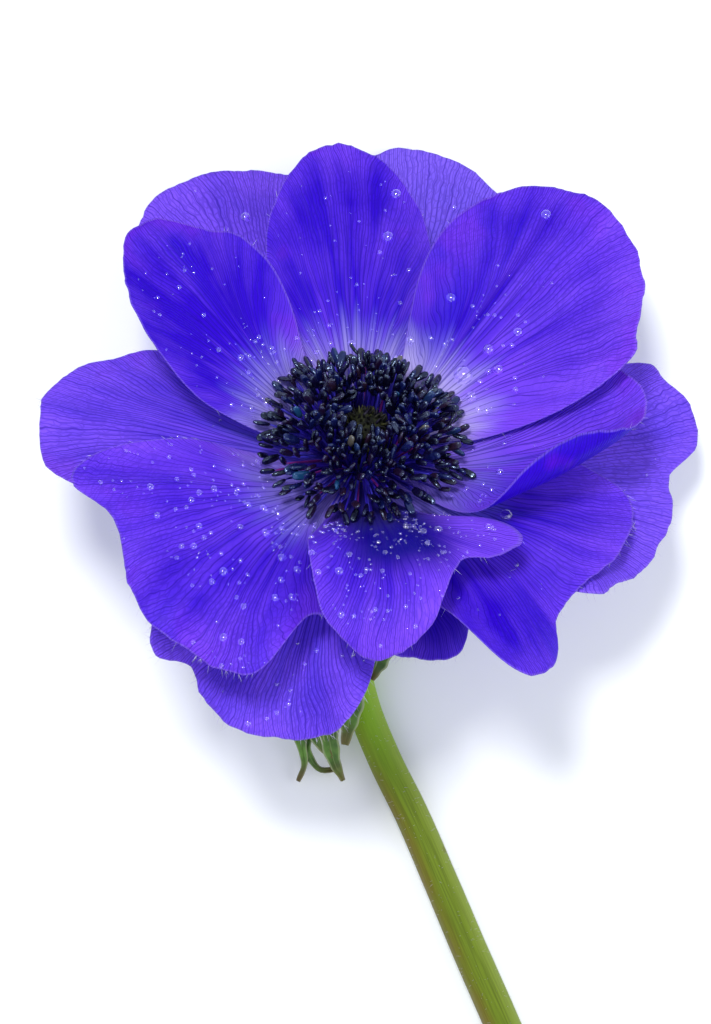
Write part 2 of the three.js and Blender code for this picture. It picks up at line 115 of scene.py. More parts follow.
# Petals
# Thirteen soft petals, thin at the margin and fleshy at the foot, grown on the rim of the receptacle.
# Each one is a flat shape that rises, cups, folds and ruffles, with tissue that puffs up between its veins.
FLOWER_TILT = 35  # degrees that the flower's axis leans from the vertical, away from the stem
FLOWER_LEAN = 5  # degrees that it also leans to the right
PETAL_FOOT = 1.5  # half the width of a petal where it joins, in mm
PETAL_RING = 3.9  # radius at which the petals join, in mm
PETAL_THICKNESS = 0.36  # mm
MARGIN_THICKNESS = 0.15  # mm
THIN_BAND = 2.5  # mm from the margin over which a petal thins
PETAL_LIFT = 0.02  # mm that the lowest petals keep above the table
PUFF_HEIGHT = 0.035  # mm that the tissue puffs up and sinks
CRISP_HEIGHT = 0.12  # mm that the margin itself curls up and down
TIP_SHARE = 0.62  # share of the margin that runs round the tip, the rest runs down the sides
SIDE_DROP = 0.78  # share of the side's height that the margin runs down, the foot's edge goes on from there
FULL_SIDE = 0.9  # how full a side is that isn't hollowed
MARGIN_WAVES = ((0.01, 9, 40), (0.006, 31, 60))  # slow and quick ones: share of the reach, number, seed
RIB_REACH = 1.25  # the rib is followed past the tip, to this many lengths
RIB_STEPS = 96
BEND_STEPS = 12
PETAL_ROWS = 66
PETAL_COLUMNS = 118

# What each petal has, with lengths in mm and angles in degrees:
# azimuth: direction round the flower, 0 to the right and 90 to the top
# length, left, right: size of the flat petal; widest: share of the length at which it is widest
# blunt: how square the tip is; full_left, full_right: above 0.9 the side is hollowed near the foot
# margin: reach of the outline from the right foot over the tip to the left foot
# seat: height of the foot; rise, swing: slope and sideways turn of the rib, from foot to tip
# cup_left, cup_right: bend of each half towards the face, from foot to tip
# hook_right: further bend of the right margin
# ruffle: waves of the margin as height, number and start; pleats: number and depth of the long folds
# light: how light the blue is, 0 for deep and 1 for light; side: how much lighter the left margin is
# foot_light, back_light: how much lighter the foot and the back are
# pale, flush, back, sky, dusk: shares of white at the foot, of red-violet near the margin, of dull blue
#   on the back, of a light that is paler and bluer, and of dark blue painted on the neck as shade
# hairs: silky hairs at the margin and on the back
PETALS = {
    "petal_top": dict(
        azimuth=91.5, length=45, left=12, right=12, blunt=1.9, seat=-1.5, rise=(18, 20, 16, 12),
        cup_left=(10, 20), cup_right=(10, 20), ruffle=(0.4, 1.5, 0.2), pleats=(5, 0.1),
        light=0.2, pale=0.75, flush=0.7, hairs=8,
    ),
    "petal_upper_left": dict(
        margin=(1, 1, 1, 1.03, 1, 0.93, 0.93, 0.97, 0.96, 0.92, 0.9, 0.9, 0.91, 0.95, 1, 1, 1),
        azimuth=143, length=43.5, left=12, right=12, full_right=1.8, seat=-0.5, rise=(22, 28, 22, 10),
        swing=(0, -6), cup_left=(10, 20), cup_right=(10, 20), ruffle=(0.5, 1.5, 0.6), pleats=(5, 0.1),
        light=0.05, pale=0.65, flush=0.3, hairs=8,
    ),
    "petal_upper_right": dict(
        margin=(1, 1, 1.08, 1.08, 1, 0.97, 0.97, 0.99, 1.01, 1, 1, 1, 0.99, 1, 1, 1, 1),
        azimuth=40, length=46.5, left=15, right=18, widest=0.64, full_left=1.6, seat=-0.5,
        rise=(22, 28, 22, 8), cup_left=(10, 20), cup_right=(10, 20),
        ruffle=(0.6, 1.8, 0.1), pleats=(7, 0.2), light=0.43, side=-0.5, pale=1, flush=0.3, hairs=10,
    ),
    "petal_right_folded": dict(
        margin=(1, 1, 1, 0.98, 0.97, 0.95, 0.94, 0.97, 1, 1, 1, 1, 1, 1, 1, 1, 1),
        azimuth=1, length=37.5, left=9, right=17, full_right=1.35, seat=-1.5, rise=(16, 21, 20, 18),
        swing=(-16, 7, 42), cup_left=(10, 20), cup_right=(10, 34, 74, 100), hook_right=(0, 60, 120, 150),
        pleats=(4, 0.08), light=0.8, side=0.55, back_light=-1.6, pale=0.3, flush=0.5, back=0, hairs=12,
    ),
    "petal_bottom": dict(
        margin=(1, 1, 1, 1, 1.05, 1.05, 1.05, 1.01, 0.92, 0.76, 0.68, 0.75, 0.82, 0.91, 0.9, 1, 1),
        azimuth=-81, length=37, left=19, right=13, full_left=2.8, seat=-0.2, rise=(8, 38, 4, -60),
        cup_left=(0, -5, -20, -20), cup_right=(0, 0), ruffle=(0.8, 1.5, 0.3), pleats=(6, 0.14),
        light=0.55, side=0.3, pale=0.05, painted_neck_shade=1, hairs=25,
    ),
    "petal_lower_left": dict(
        margin=(1, 1, 1.03, 1.2, 1.16, 0.98, 0.96, 1, 1.04, 1.04, 1.07, 1.09, 0.88, 0.94, 1, 1, 1),
        azimuth=226, length=38.5, left=16, right=20, full_left=1.2, seat=-1.5, rise=(13, 21, 1, -20),
        cup_left=(0, 0, -10, -20), cup_right=(10, 20), ruffle=(1.2, 2.4, 0.35), pleats=(8, 0.2),
        light=0.3, side=-0.15, pale=0.4, flush=0.2, hairs=130,
    ),
    "back_petal_top_left": dict(
        margin=(1, 1, 1.1, 1.14, 1.13, 1.06, 1.01, 0.99, 0.98, 0.97, 0.94, 0.93, 0.93, 0.94, 0.97, 1, 1),
        azimuth=118, length=50.5, left=16, right=16, seat=-3.5, rise=(9, 7, 5, 2),
        ruffle=(0.6, 1.6, 0.5), pleats=(5, 0.12), light=0.8, sky=0.1, hairs=80,
    ),
    "back_petal_top_right": dict(
        margin=(1, 1, 1, 1, 1, 0.97, 0.96, 0.96, 0.98, 0.98, 0.98, 1, 1, 1, 1, 1, 1),
        azimuth=74, length=49.5, left=16, right=16, seat=-2.5, rise=(13, 11, 11, 9),
        ruffle=(0.7, 1.6, 0), pleats=(5, 0.14), light=0.8, sky=0.25, hairs=80,
    ),
    "back_petal_right": dict(
        margin=(1, 1, 1, 1.03, 0.94, 0.9, 0.9, 0.9, 0.91, 0.92, 1.06, 1.1, 1.1, 1.18, 1.05, 1, 1),
        azimuth=-8, length=44.5, left=20, right=17, widest=0.66, full_right=1.5, seat=-3.7,
        rise=(6, 0, -4, -8), ruffle=(1.2, 1.8, 0.3), pleats=(6, 0.2),
        light=0.8, pale=0.4, sky=0.12, hairs=150,
    ),
    "back_petal_lower_right": dict(
        margin=(1, 1, 1, 0.95, 1.18, 1.15, 1.04, 0.9, 0.88, 0.93, 0.98, 1.04, 1.08, 1, 1, 1, 1),
        azimuth=-37, length=37, left=17, right=16, seat=-2.5, rise=(14, 8, -4, -15),
        ruffle=(1.2, 1.6, 0), pleats=(5, 0.16), light=0.26, side=0.3, pale=0.35, hairs=130,
    ),
    "back_petal_bottom": dict(
        margin=(1, 1, 1, 1, 1, 0.97, 0.93, 0.93, 0.93, 0.86, 0.9, 0.95, 1, 1, 1, 1, 1),
        azimuth=-63, length=28, left=11, right=11, full_left=1.5, seat=-3.7, rise=(0, -12, -24, -50),
        ruffle=(0.8, 2.2, 0.3), pleats=(5, 0.12), light=0.2, painted_neck_shade=0.35, hairs=150,
    ),
    "back_petal_lower_left": dict(
        margin=(1, 1, 1, 1, 1, 1, 0.89, 0.92, 0.96, 0.97, 0.99, 1.04, 1.12, 1.12, 1.03, 1, 1),
        azimuth=-118, length=41, left=14, right=16, seat=-2.6, rise=(4, -8, -20, -30),
        ruffle=(1.3, 2, 0.2), pleats=(7, 0.2), light=0.64, sky=0.08, hairs=200,
    ),
    "back_petal_left": dict(
        margin=(1, 1, 1, 1.04, 1, 1, 0.99, 1, 0.99, 0.99, 0.96, 0.9, 0.92, 1, 1, 1, 1),
        azimuth=176, length=42, left=14, right=14, full_left=1.2, seat=-2.5, rise=(13, 10, 4, 0),
        ruffle=(0.7, 1.5, 0.4), pleats=(6, 0.2),
        light=0.75, foot_light=-0.5, pale=0.15, flush=0.4, sky=0.08, hairs=120,
    ),
}

tilt, lean = radians(FLOWER_TILT), radians(FLOWER_LEAN)
face_axis = np.array([sin(lean), cos(lean) * sin(tilt), cos(lean) * cos(tilt)])
up_axis = np.array([0, 1, 0]) - face_axis[1] * face_axis
up_axis /= np.linalg.norm(up_axis)
FLOWER_AXES = np.stack([np.cross(up_axis, face_axis), up_axis, face_axis])


def in_part(points):
    """Points measured from the flower's heart along its own axes, in the part's frame."""
    return HEART + np.asarray(points) @ FLOWER_AXES


def through(stations, place):
    """Values at shares from 0 to 1 of a smooth curve through evenly spaced stations."""
    values = np.asarray(stations, float)
    last = len(values) - 1
    place = np.clip(place, 0, 1) * last
    i = np.minimum(place.astype(int), last - 1)
    f = place - i
    b, c = values[i], values[i + 1]
    a = np.where(i > 0, values[np.maximum(i - 1, 0)], 2 * b - c)
    d = np.where(i + 2 <= last, values[np.minimum(i + 2, last)], 2 * c - b)
    return 0.5 * (2 * b + (c - a) * f + (2 * a - 5 * b + 4 * c - d) * f**2 + (3 * b - a - 3 * c + d) * f**3)


def ease(value, low, high):
    """0 below low, 1 above high, and smooth between them."""
    share = np.clip((value - low) / (high - low), 0, 1)
    return share * share * (3 - 2 * share)


def unit(vectors):
    """The vectors, each made 1 long."""
    return vectors / np.maximum(np.linalg.norm(vectors, axis=-1, keepdims=True), 1e-12)


def roughly(across, along, seed):
    """Smooth noise from -1 to 1 over two arrays of places."""
    places = zip(np.ravel(across), np.ravel(along))
    return np.reshape([noise.noise(Vector((a, b, 7.3 * seed))) for a, b in places], np.shape(across))


def flat_petal(p, u, t, seed):
    """Places on the flat petal: u from foot to margin, t from right (-1) to left (1)."""
    spread = np.abs(t)
    half = np.where(t > 0, p["left"], p["right"])
    full = np.where(t > 0, p.get("full_left", FULL_SIDE), p.get("full_right", FULL_SIDE))
    widest = p.get("widest", 0.6)
    power = 2 / p.get("blunt", 2.2)
    angle = np.minimum(spread / TIP_SHARE, 1) * pi / 2
    tip_x = half * np.abs(np.sin(angle)) ** power
    tip_y = p["length"] * (widest + (1 - widest) * np.abs(np.cos(angle)) ** power)
    up_side = 1 - SIDE_DROP * np.clip((spread - TIP_SHARE) / (1 - TIP_SHARE), 0, 1)
    side_x = PETAL_FOOT + (half - PETAL_FOOT) * np.sin(pi / 2 * up_side) ** full
    side_y = p["length"] * widest * up_side
    # The margin is a little uneven, in slow and in quick waves
    reach = through(p.get("margin", (1, 1)), (t + 1) / 2)
    for size, number, salt in MARGIN_WAVES:
        reach = reach + size * roughly(number * t, 0 * t, seed + salt)
    margin_x = np.where(spread < TIP_SHARE, tip_x, side_x) * reach
    margin_y = np.where(spread < TIP_SHARE, tip_y, side_y) * reach
    foot_x = spread * PETAL_FOOT
    # A hollowed side widens later, or it would cross itself near the foot
    hollow = 1 + np.minimum(1.6 * np.maximum(full - 1, 0), 2) * np.minimum(spread / TIP_SHARE, 1)
    x = foot_x + (margin_x - foot_x) * (0.6 * u + 0.4 * u**2) ** hollow
    # The rows lie closer together towards the margin, where the form is finer
    y = margin_y * (1.24 * u - 0.24 * u**2)
    return np.sign(t) * x, y


def petal_form(p, x, y, u, t):
    """Places of the bent petal's middle surface, measured from the heart along the flower's axes."""
    share = np.linspace(0, RIB_REACH, RIB_STEPS + 1)
    rise = np.radians(through(p["rise"], share))
    heading = np.radians(p["azimuth"] + through(p.get("swing", (0, 0)), share))
    along = np.stack([np.cos(rise) * np.cos(heading), np.cos(rise) * np.sin(heading), np.sin(rise)], -1)
    across = np.stack([-np.sin(heading), np.cos(heading), 0 * heading], -1)
    face = np.cross(along, across)
    step = RIB_REACH * p["length"] / RIB_STEPS
    start = radians(p["azimuth"])
    rib = np.zeros((RIB_STEPS + 1, 3))
    rib[1:] = np.cumsum((along[1:] + along[:-1]) / 2 * step, axis=0)
    rib += [PETAL_RING * cos(start), PETAL_RING * sin(start), p["seat"]]

    def on_rib(rows):
        return np.stack([np.interp(y, share * p["length"], rows[:, k]) for k in range(3)], -1)

    reached = y / p["length"]
    half = np.where(t > 0, p["left"], p["right"])
    cup_left, cup_right = (through(p.get(key, (0, 10)), reached) for key in ("cup_left", "cup_right"))
    cup = np.where(t > 0, cup_left, cup_right)
    hook = np.where(t > 0, 0, through(p.get("hook_right", (0, 0)), reached))
    sideways = np.zeros_like(x)
    raised = np.zeros_like(x)
    for k in range(BEND_STEPS):
        part = (k + 0.5) / BEND_STEPS * np.abs(x) / half
        angle = np.radians(cup * part + hook * part**4)
        sideways += np.cos(angle) * np.abs(x) / BEND_STEPS
        raised += np.sin(angle) * np.abs(x) / BEND_STEPS
    height, number, begin = p.get("ruffle", (0, 1, 0))
    raised += height * u**2 * np.minimum(reached / 0.7, 1) ** 1.5 * np.sin(2 * pi * (number * t + begin))
    bent = on_rib(across) * (np.sign(x) * sideways)[..., None]
    return on_rib(rib) + bent + on_rib(face) * raised[..., None]


def petal_relief(p, x, y, u, t, seed):
    """How far the tissue stands out of the bent surface in mm: long pleats, puffs and a crisp margin."""
    number, depth = p["pleats"]
    bend = 0.5 * roughly(2.0 * t, 1.5 * u, seed)
    pleats = depth * ease(u, 0.15, 0.7) * np.cos(2 * pi * (number * t / 2 + bend) + seed)
    puffs = PUFF_HEIGHT * ease(y, 12, 34) * roughly(x / 1.5, y / 3.2, seed + 20)
    crisp = CRISP_HEIGHT * u**9 * roughly(14 * t, 3 * u, seed + 80)
    return pleats + puffs + crisp


def grid_normals(points):
    """Normals of a grid of points, on the side that a petal's face looks to."""
    rows = np.gradient(points, axis=0)
    columns = np.gradient(points, axis=1)
    return unit(np.cross(rows, columns))


def sheet_faces(rows, columns, under):
    """Faces of a closed sheet: the face side, the back with its ids raised by under, and the rim."""
    ids = np.arange(rows * columns).reshape(rows, columns)
    a, b, c, d = ids[:-1, :-1], ids[1:, :-1], ids[1:, 1:], ids[:-1, 1:]
    front = np.stack([a, b, c, d], -1).reshape(-1, 4)
    back = np.stack([a, d, c, b], -1).reshape(-1, 4) + under
    rim = np.concatenate([ids[0, :], ids[1:, -1], ids[-1, -2::-1], ids[-2:0:-1, 0]])
    following = np.roll(rim, -1)
    edge = np.stack([rim, following, following + under, rim + under], -1)
    return np.concatenate([front, back, edge])


def make_mesh(name, points, faces, material, **attributes):
    """A smooth mesh from points in mm, with a float attribute for each list of values."""
    mesh = bpy.data.meshes.new(name)
    mesh.from_pydata((np.asarray(points) * MM).tolist(), [], [list(face) for face in faces])
    for key, values in attributes.items():
        layer = mesh.attributes.new(key, "FLOAT", "POINT")
        layer.data.foreach_set("value", np.ravel(values).astype(np.float32))
    mesh.shade_smooth()
    mesh.materials.append(material)
    made = bpy.data.objects.new(name, mesh)
    scene.collection.objects.link(made)
    return made


def hand_over(piece, nodes=()):
    """The piece is part of the flower and stands for these nodes, which are hidden."""
    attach(piece, "root")
    if nodes:
        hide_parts(*nodes)


def wire(tree, kind, *inputs, **settings):
    """A new node with its settings, fed in order by sockets or plain values."""
    node = tree.nodes.new(kind)
    for key, value in settings.items():
        setattr(node, key, value)
    for socket, value in zip(node.inputs, inputs):
        if isinstance(value, bpy.types.NodeSocket):
            tree.links.new(value, socket)
        elif value is not None:
            socket.default_value = value
    return node


def calc(tree, operation, *values):
    """The result of a Math node."""
    return wire(tree, "ShaderNodeMath", *values, operation=operation).outputs[0]


def plus(tree, first, second):
    return calc(tree, "ADD", first, second)


def minus(tree, first, second):
    return calc(tree, "SUBTRACT", first, second)


def times(tree, first, second):
    return calc(tree, "MULTIPLY", first, second)


def ramp(tree, value, low, high, start=0.0, end=1.0):
    """A smooth step from start at low to end at high."""
    node = wire(tree, "ShaderNodeMapRange", value, low, high, start, end, interpolation_type="SMOOTHSTEP")
    return node.outputs[0]


def blend_colour(tree, share, first, second):
    """The first colour where the share is 0, and the second where it is 1."""
    node = tree.nodes.new("ShaderNodeMix")
    node.data_type = "RGBA"
    for socket, value in ((node.inputs[0], share), (node.inputs[6], first), (node.inputs[7], second)):
        if isinstance(value, bpy.types.NodeSocket):
            tree.links.new(value, socket)
        else:
            socket.default_value = value
    return node.outputs[2]


def attribute(tree, name):
    """A number that the mesh carries on its points."""
    return wire(tree, "ShaderNodeAttribute", attribute_name=name).outputs["Fac"]


def object_place(tree):
    """Places on a piece in metres."""
    return wire(tree, "ShaderNodeTexCoord").outputs["Object"]


def at(tree, x, y, z=None):
    """A place from numbers or sockets."""
    return wire(tree, "ShaderNodeCombineXYZ", x, y, z).outputs[0]


def cloudy(tree, vector, scale, detail):
    """Soft noise from 0 to 1."""
    return wire(tree, "ShaderNodeTexNoise", vector, None, scale, detail).outputs[0]


def plain_finish(name, colour, roughness, specular=0.4):
    """A material of one colour to start from, with its node tree and its shader."""
    made = bpy.data.materials.new(name)
    made.use_nodes = True
    shader = made.node_tree.nodes["Principled BSDF"]
    shader.inputs["Base Color"].default_value = colour
    shader.inputs["Roughness"].default_value = roughness
    shader.inputs["Specular IOR Level"].default_value = specular
    return made, made.node_tree, shader


def add_relief(tree, shader, height, strength, depth):
    """A fine relief of so many mm, from a height that goes from 0 to 1."""
    bump = wire(tree, "ShaderNodeBump")
    bump.inputs["Strength"].default_value = strength
    bump.inputs["Distance"].default_value = depth * MM
    tree.links.new(height, bump.inputs["Height"])
    tree.links.new(bump.outputs[0], shader.inputs["Normal"])


def let_light_through(tree, shader, colour, share):
    """Thin tissue: this share of what it does with light is to let it through in its own colour."""
    glow = wire(tree, "ShaderNodeBsdfTranslucent", colour)
    both = wire(tree, "ShaderNodeMixShader", share, shader.outputs[0], glow.outputs[0])
    tree.links.new(both.outputs[0], tree.nodes["Material Output"].inputs["Surface"])


def shader_group(name, inputs, outputs):
    """A shader node group with number sockets, and its input and output nodes."""
    group = bpy.data.node_groups.new(name, "ShaderNodeTree")
    for key in inputs:
        group.interface.new_socket(name=key, in_out="INPUT", socket_type="NodeSocketFloat")
    for key in outputs:
        group.interface.new_socket(name=key, in_out="OUTPUT", socket_type="NodeSocketFloat")
    return group, group.nodes.new("NodeGroupInput").outputs, group.nodes.new("NodeGroupOutput").inputs


VEIN_COUNT = 23  # veins that leave the foot
VEIN_HALF_WIDTH = 0.14  # mm
# Where a fork starts and how long it opens as shares of the length, and the half width in mm and the
# strength of the veins that it adds
FORKS = ((0.14, 0.26, 0.13, 0.95), (0.34, 0.26, 0.12, 0.85), (0.58, 0.3, 0.11, 0.6))


def vein_fork():
    """Splits a strip between two veins: a new vein leaves one of them and swings to the strip's middle."""
    keys = ("Place", "Width", "Strip", "Along", "Start", "Stretch")
    group, given, result = shader_group("vein fork", keys, ("Place", "Width", "Strip", "Gap"))
    # Each strip draws its own number, which shifts the fork and says which vein it leaves
    draw = wire(group, "ShaderNodeTexWhiteNoise", noise_dimensions="1D")
    group.links.new(times(group, given["Strip"], 7.31), draw.inputs["W"])
    chance = draw.outputs["Value"]
    begin = calc(group, "MULTIPLY_ADD", chance, 0.2, given["Start"])
    opened = calc(group, "DIVIDE", minus(group, given["Along"], begin), given["Stretch"])
    away = times(group, ramp(group, opened, 0, 1), 0.5)
    side = calc(group, "GREATER_THAN", calc(group, "FRACT", times(group, chance, 17.0)), 0.5)
    mirrored = times(group, side, minus(group, 1.0, times(group, away, 2.0)))
    split = plus(group, away, mirrored)
    # The place, width and number of the part that the point lies in, and how far the new vein is
    before = calc(group, "LESS_THAN", given["Place"], split)
    after = minus(group, 1.0, before)
    part = plus(group, times(group, before, split), times(group, after, minus(group, 1.0, split)))
    place = minus(group, given["Place"], times(group, after, split))
    gap = calc(group, "ABSOLUTE", minus(group, given["Place"], split))
    group.links.new(calc(group, "DIVIDE", place, calc(group, "MAXIMUM", part, 0.001)), result["Place"])
    group.links.new(times(group, given["Width"], part), result["Width"])
    group.links.new(calc(group, "MULTIPLY_ADD", given["Strip"], 2.0, before), result["Strip"])
    group.links.new(times(group, gap, given["Width"]), result["Gap"])
    return group


def petal_veins():
    """Veins that fan out of the foot and fork three times, and a finer net between them further out."""
    keys = ("Sideways", "Along", "Across mm", "Reach mm", "Span mm", "Veins", "Seed")
    group, given, result = shader_group("petal veins", keys, ("Vein", "Puff"))
    sideways, along, across_mm, reach_mm, span_mm, veins, seed = (given[key] for key in keys)
    fork = vein_fork()

    # The veins wander further from their even places towards the margin, and shiver a little
    wide = cloudy(group, at(group, sideways, along, seed), 2.6, 1)
    closer = at(group, times(group, across_mm, 0.5), times(group, reach_mm, 0.42), seed)
    fine = cloudy(group, closer, 1.0, 1)
    wander = times(group, minus(group, wide, 0.5), 2.2)
    shiver = times(group, minus(group, fine, 0.5), times(group, along, 0.28))
    half_count = times(group, veins, 0.5)
    even = times(group, sideways, half_count)
    count = plus(group, plus(group, even, times(group, wander, along)), shiver)
    strip_mm = calc(group, "DIVIDE", span_mm, half_count)
    in_strip = calc(group, "FRACT", count)

    def line(gap, half_width):
        gap_mm = times(group, gap, strip_mm)
        return ramp(group, gap_mm, half_width * 0.25, half_width, 1, 0), gap_mm

    nearest = calc(group, "MINIMUM", in_strip, minus(group, 1.0, in_strip))
    vein, gap_mm = line(nearest, VEIN_HALF_WIDTH)
    strip = plus(group, calc(group, "FLOOR", count), times(group, seed, 13.0))
    state = (in_strip, 1.0, strip)
    for start, stretch, half_width, strength in FORKS:
        forked = wire(group, "ShaderNodeGroup", *state, along, start, stretch, node_tree=fork)
        state = tuple(forked.outputs[key] for key in ("Place", "Width", "Strip"))
        drawn, further = line(forked.outputs["Gap"], half_width)
        vein = calc(group, "MAXIMUM", vein, times(group, drawn, strength))
        gap_mm = calc(group, "MINIMUM", gap_mm, further)

    # The net's cells are longer than wide, and bent
    tissue = at(group, across_mm, reach_mm, seed)
    uneven = wire(group, "ShaderNodeTexNoise", tissue, None, 0.6, 1.0).outputs[1]
    cells = at(group, times(group, across_mm, 1.7), times(group, reach_mm, 0.6), seed)
    bent = wire(group, "ShaderNodeVectorMath", cells, uneven, operation="ADD")
    net = wire(group, "ShaderNodeTexVoronoi", bent.outputs[0], feature="DISTANCE_TO_EDGE")
    net.inputs["Scale"].default_value = 0.95
    net_line = ramp(group, net.outputs["Distance"], 0.03, 0.13, 1, 0)
    net_share = ramp(group, reach_mm, 20, 40, 0, 0.45)
    group.links.new(calc(group, "MAXIMUM", vein, times(group, net_line, net_share)), result["Vein"])
    between = ramp(group, gap_mm, 0, 0.22)
    dented = times(group, minus(group, 1.0, ramp(group, net.outputs["Distance"], 0, 0.2, 1, 0)), net_share)
    group.links.new(plus(group, between, dented), result["Puff"])
    return group


DEEP_BLUE = shade(50, 0, 212)
LIGHT_BLUE = shade(132, 78, 255)
VEIN_BLUE = shade(30, 0, 150)
PALE_FOOT = shade(206, 194, 255)
PALE_MARGIN = shade(150, 116, 246)
BACK_BLUE = shade(90, 62, 216)
FLUSH = shade(128, 28, 222)
SKY_BLUE = shade(150, 150, 248)
# The last one is painted shade, for the neck under the boss of stamens
PAINTED_SHADE_BLUE = shade(14, 0, 140)
veins_group = petal_veins()


def petal_finish(name, p, seed):
    """Satin violet-blue with dark veins, a whitish foot, a thin light margin and a paler back."""
    made, tree, shader = plain_finish(name, LIGHT_BLUE, 0.46, 0.09)
    uv = wire(tree, "ShaderNodeSeparateXYZ", wire(tree, "ShaderNodeUVMap", uv_map="UVMap").outputs[0])
    sideways = calc(tree, "MULTIPLY_ADD", uv.outputs[0], 2.0, -1.0)
    along = uv.outputs[1]
    across = attribute(tree, "across_mm")
    reach = attribute(tree, "reach_mm")
    rim = attribute(tree, "rim_mm")
    back = attribute(tree, "back")
    spot = object_place(tree)

    # The blue is uneven in soft patches and in streaks along the veins, and lighter near the margin
    patches = minus(tree, cloudy(tree, spot, 95, 2), 0.5)
    strands = at(tree, times(tree, sideways, 9.0), times(tree, along, 1.6), float(seed))
    streaks = minus(tree, cloudy(tree, strands, 1.0, 2), 0.5)
    light = calc(tree, "MULTIPLY_ADD", patches, 0.85, p["light"])
    light = calc(tree, "MULTIPLY_ADD", streaks, 1.25, light)
    light = calc(tree, "MULTIPLY_ADD", sideways, p.get("side", 0), light)
    light = plus(tree, light, ramp(tree, rim, 7, 0.5, 0, 0.3))
    light = plus(tree, light, ramp(tree, reach, 30, 16, 0, p.get("foot_light", 0)))
    light = calc(tree, "MULTIPLY_ADD", back, p.get("back_light", 0), light)
    colour = blend_colour(tree, light, DEEP_BLUE, LIGHT_BLUE)
    flushed = times(tree, ramp(tree, patches, 0.02, 0.14), ramp(tree, rim, 8, 0, 0, p.get("flush", 0)))
    colour = blend_colour(tree, flushed, colour, FLUSH)
    colour = blend_colour(tree, times(tree, back, p.get("back", 0.5)), colour, BACK_BLUE)
    if "sky" in p:
        colour = blend_colour(tree, p["sky"], colour, SKY_BLUE)
    # Painted shade: dark blue near the rib of the neck, where the boss of stamens would shade the petal
    if "painted_neck_shade" in p:
        near_rib = ramp(tree, calc(tree, "ABSOLUTE", across), 10, 3.5)
        painted_shade_mask = times(tree, ramp(tree, reach, 32, 25, 0, p["painted_neck_shade"]), near_rib)
        colour = blend_colour(tree, painted_shade_mask, colour, PAINTED_SHADE_BLUE)
    foot = plus(tree, reach, times(tree, streaks, 11.0))
    colour = blend_colour(tree, ramp(tree, foot, 24, 12, 0, p.get("pale", 0.8)), colour, PALE_FOOT)
    colour = blend_colour(tree, ramp(tree, rim, 0.35, 0.1, 0, 0.5), colour, PALE_MARGIN)

    feeds = (sideways, along, across, reach, attribute(tree, "span_mm"), VEIN_COUNT, seed)
    vein, puff = wire(tree, "ShaderNodeGroup", *feeds, node_tree=veins_group).outputs
    colour = blend_colour(tree, times(tree, vein, ramp(tree, reach, 9, 24, 0.5, 0.62)), colour, VEIN_BLUE)
    tree.links.new(colour, shader.inputs["Base Color"])

    grain = cloudy(tree, spot, 5200, 2)
    tree.links.new(calc(tree, "MULTIPLY_ADD", grain, 0.25, 0.34), shader.inputs["Roughness"])
    shader.inputs["Sheen Weight"].default_value = 0.015
    shader.inputs["Sheen Roughness"].default_value = 0.4
    shader.inputs["Sheen Tint"].default_value = (0.75, 0.7, 1, 1)
    add_relief(tree, shader, calc(tree, "MULTIPLY_ADD", grain, 0.12, puff), 0.4, 0.07)
    let_light_through(tree, shader, colour, 0.22)
    return made


def petal(name, p, seed):
    """The closed blade of one petal, and its middle surface with normals for what grows or lies on it."""
    u, t = np.meshgrid(np.linspace(0, 1, PETAL_ROWS), np.linspace(-1, 1, PETAL_COLUMNS), indexing="ij")
    x, y = flat_petal(p, u, t, seed)
    middle = in_part(petal_form(p, x, y, u, t))
    relief = petal_relief(p, x, y, u, t, seed)
    middle = middle + grid_normals(middle) * relief[..., None]
    rim_mm = (1 - u) * np.hypot(x, y)
    thick = PETAL_THICKNESS - (PETAL_THICKNESS - MARGIN_THICKNESS) * ease(-rim_mm, -THIN_BAND, 0)
    middle[..., 2] = np.maximum(middle[..., 2], thick / 2 + PETAL_LIFT)
    normals = grid_normals(middle)
    offset = normals * thick[..., None] / 2
    sides = np.stack([middle + offset, middle - offset])
    sides[..., 2] = np.maximum(sides[..., 2], 0)
    span_mm = np.linalg.norm(np.gradient(middle, axis=1), axis=-1) * (PETAL_COLUMNS - 1) / 2
    faces = sheet_faces(PETAL_ROWS, PETAL_COLUMNS, u.size)
    finish = petal_finish(name.replace("_", " "), p, seed)
    twice = {"across_mm": x, "reach_mm": np.hypot(x, y) + PETAL_RING, "span_mm": span_mm, "rim_mm": rim_mm}
    values = {key: np.stack([value, value]) for key, value in twice.items()}
    values["back"] = np.stack([np.zeros_like(u), np.ones_like(u)])
    made = make_mesh(name + "_blade", sides.reshape(-1, 3), faces, finish, **values)
    layer = made.data.uv_layers.new(name="UVMap")
    corner = np.zeros(len(made.data.loops), int)
    made.data.loops.foreach_get("vertex_index", corner)
    flat = np.stack([np.ravel(t) / 2 + 0.5, np.ravel(u)], -1)
    layer.uv.foreach_set("vector", flat[corner % u.size].astype(np.float32).ravel())
    hand_over(made, [name])
    return made, {"middle": middle, "normals": normals, "thick": thick}


blades = {}
surfaces = {}
for number, (name, p) in enumerate(PETALS.items()):
    blades[name], surfaces[name] = petal(name, p, number + 1)

# Silky hairs
# Fine whitish hairs stand at the margins and on the backs of the petals, thickest on the outer ones.
# Each is a soft tapering thread that grows out of the skin.
HAIR_LENGTH = 1.1  # mm
HAIR_GIRTH = 0.035  # mm
HAIR_UNEVENNESS = 0.2
HAIR_PROFILE = ((-0.1, 0), (0, 0.5), (0.35, 0.45), (0.7, 0.3), (1, 0))
MARGIN_SHARE = 0.6  # share of a petal's hairs that stand at its margin
GROOVE_WIDTH = 0.14  # of a groove in a small shape, where its length is 1


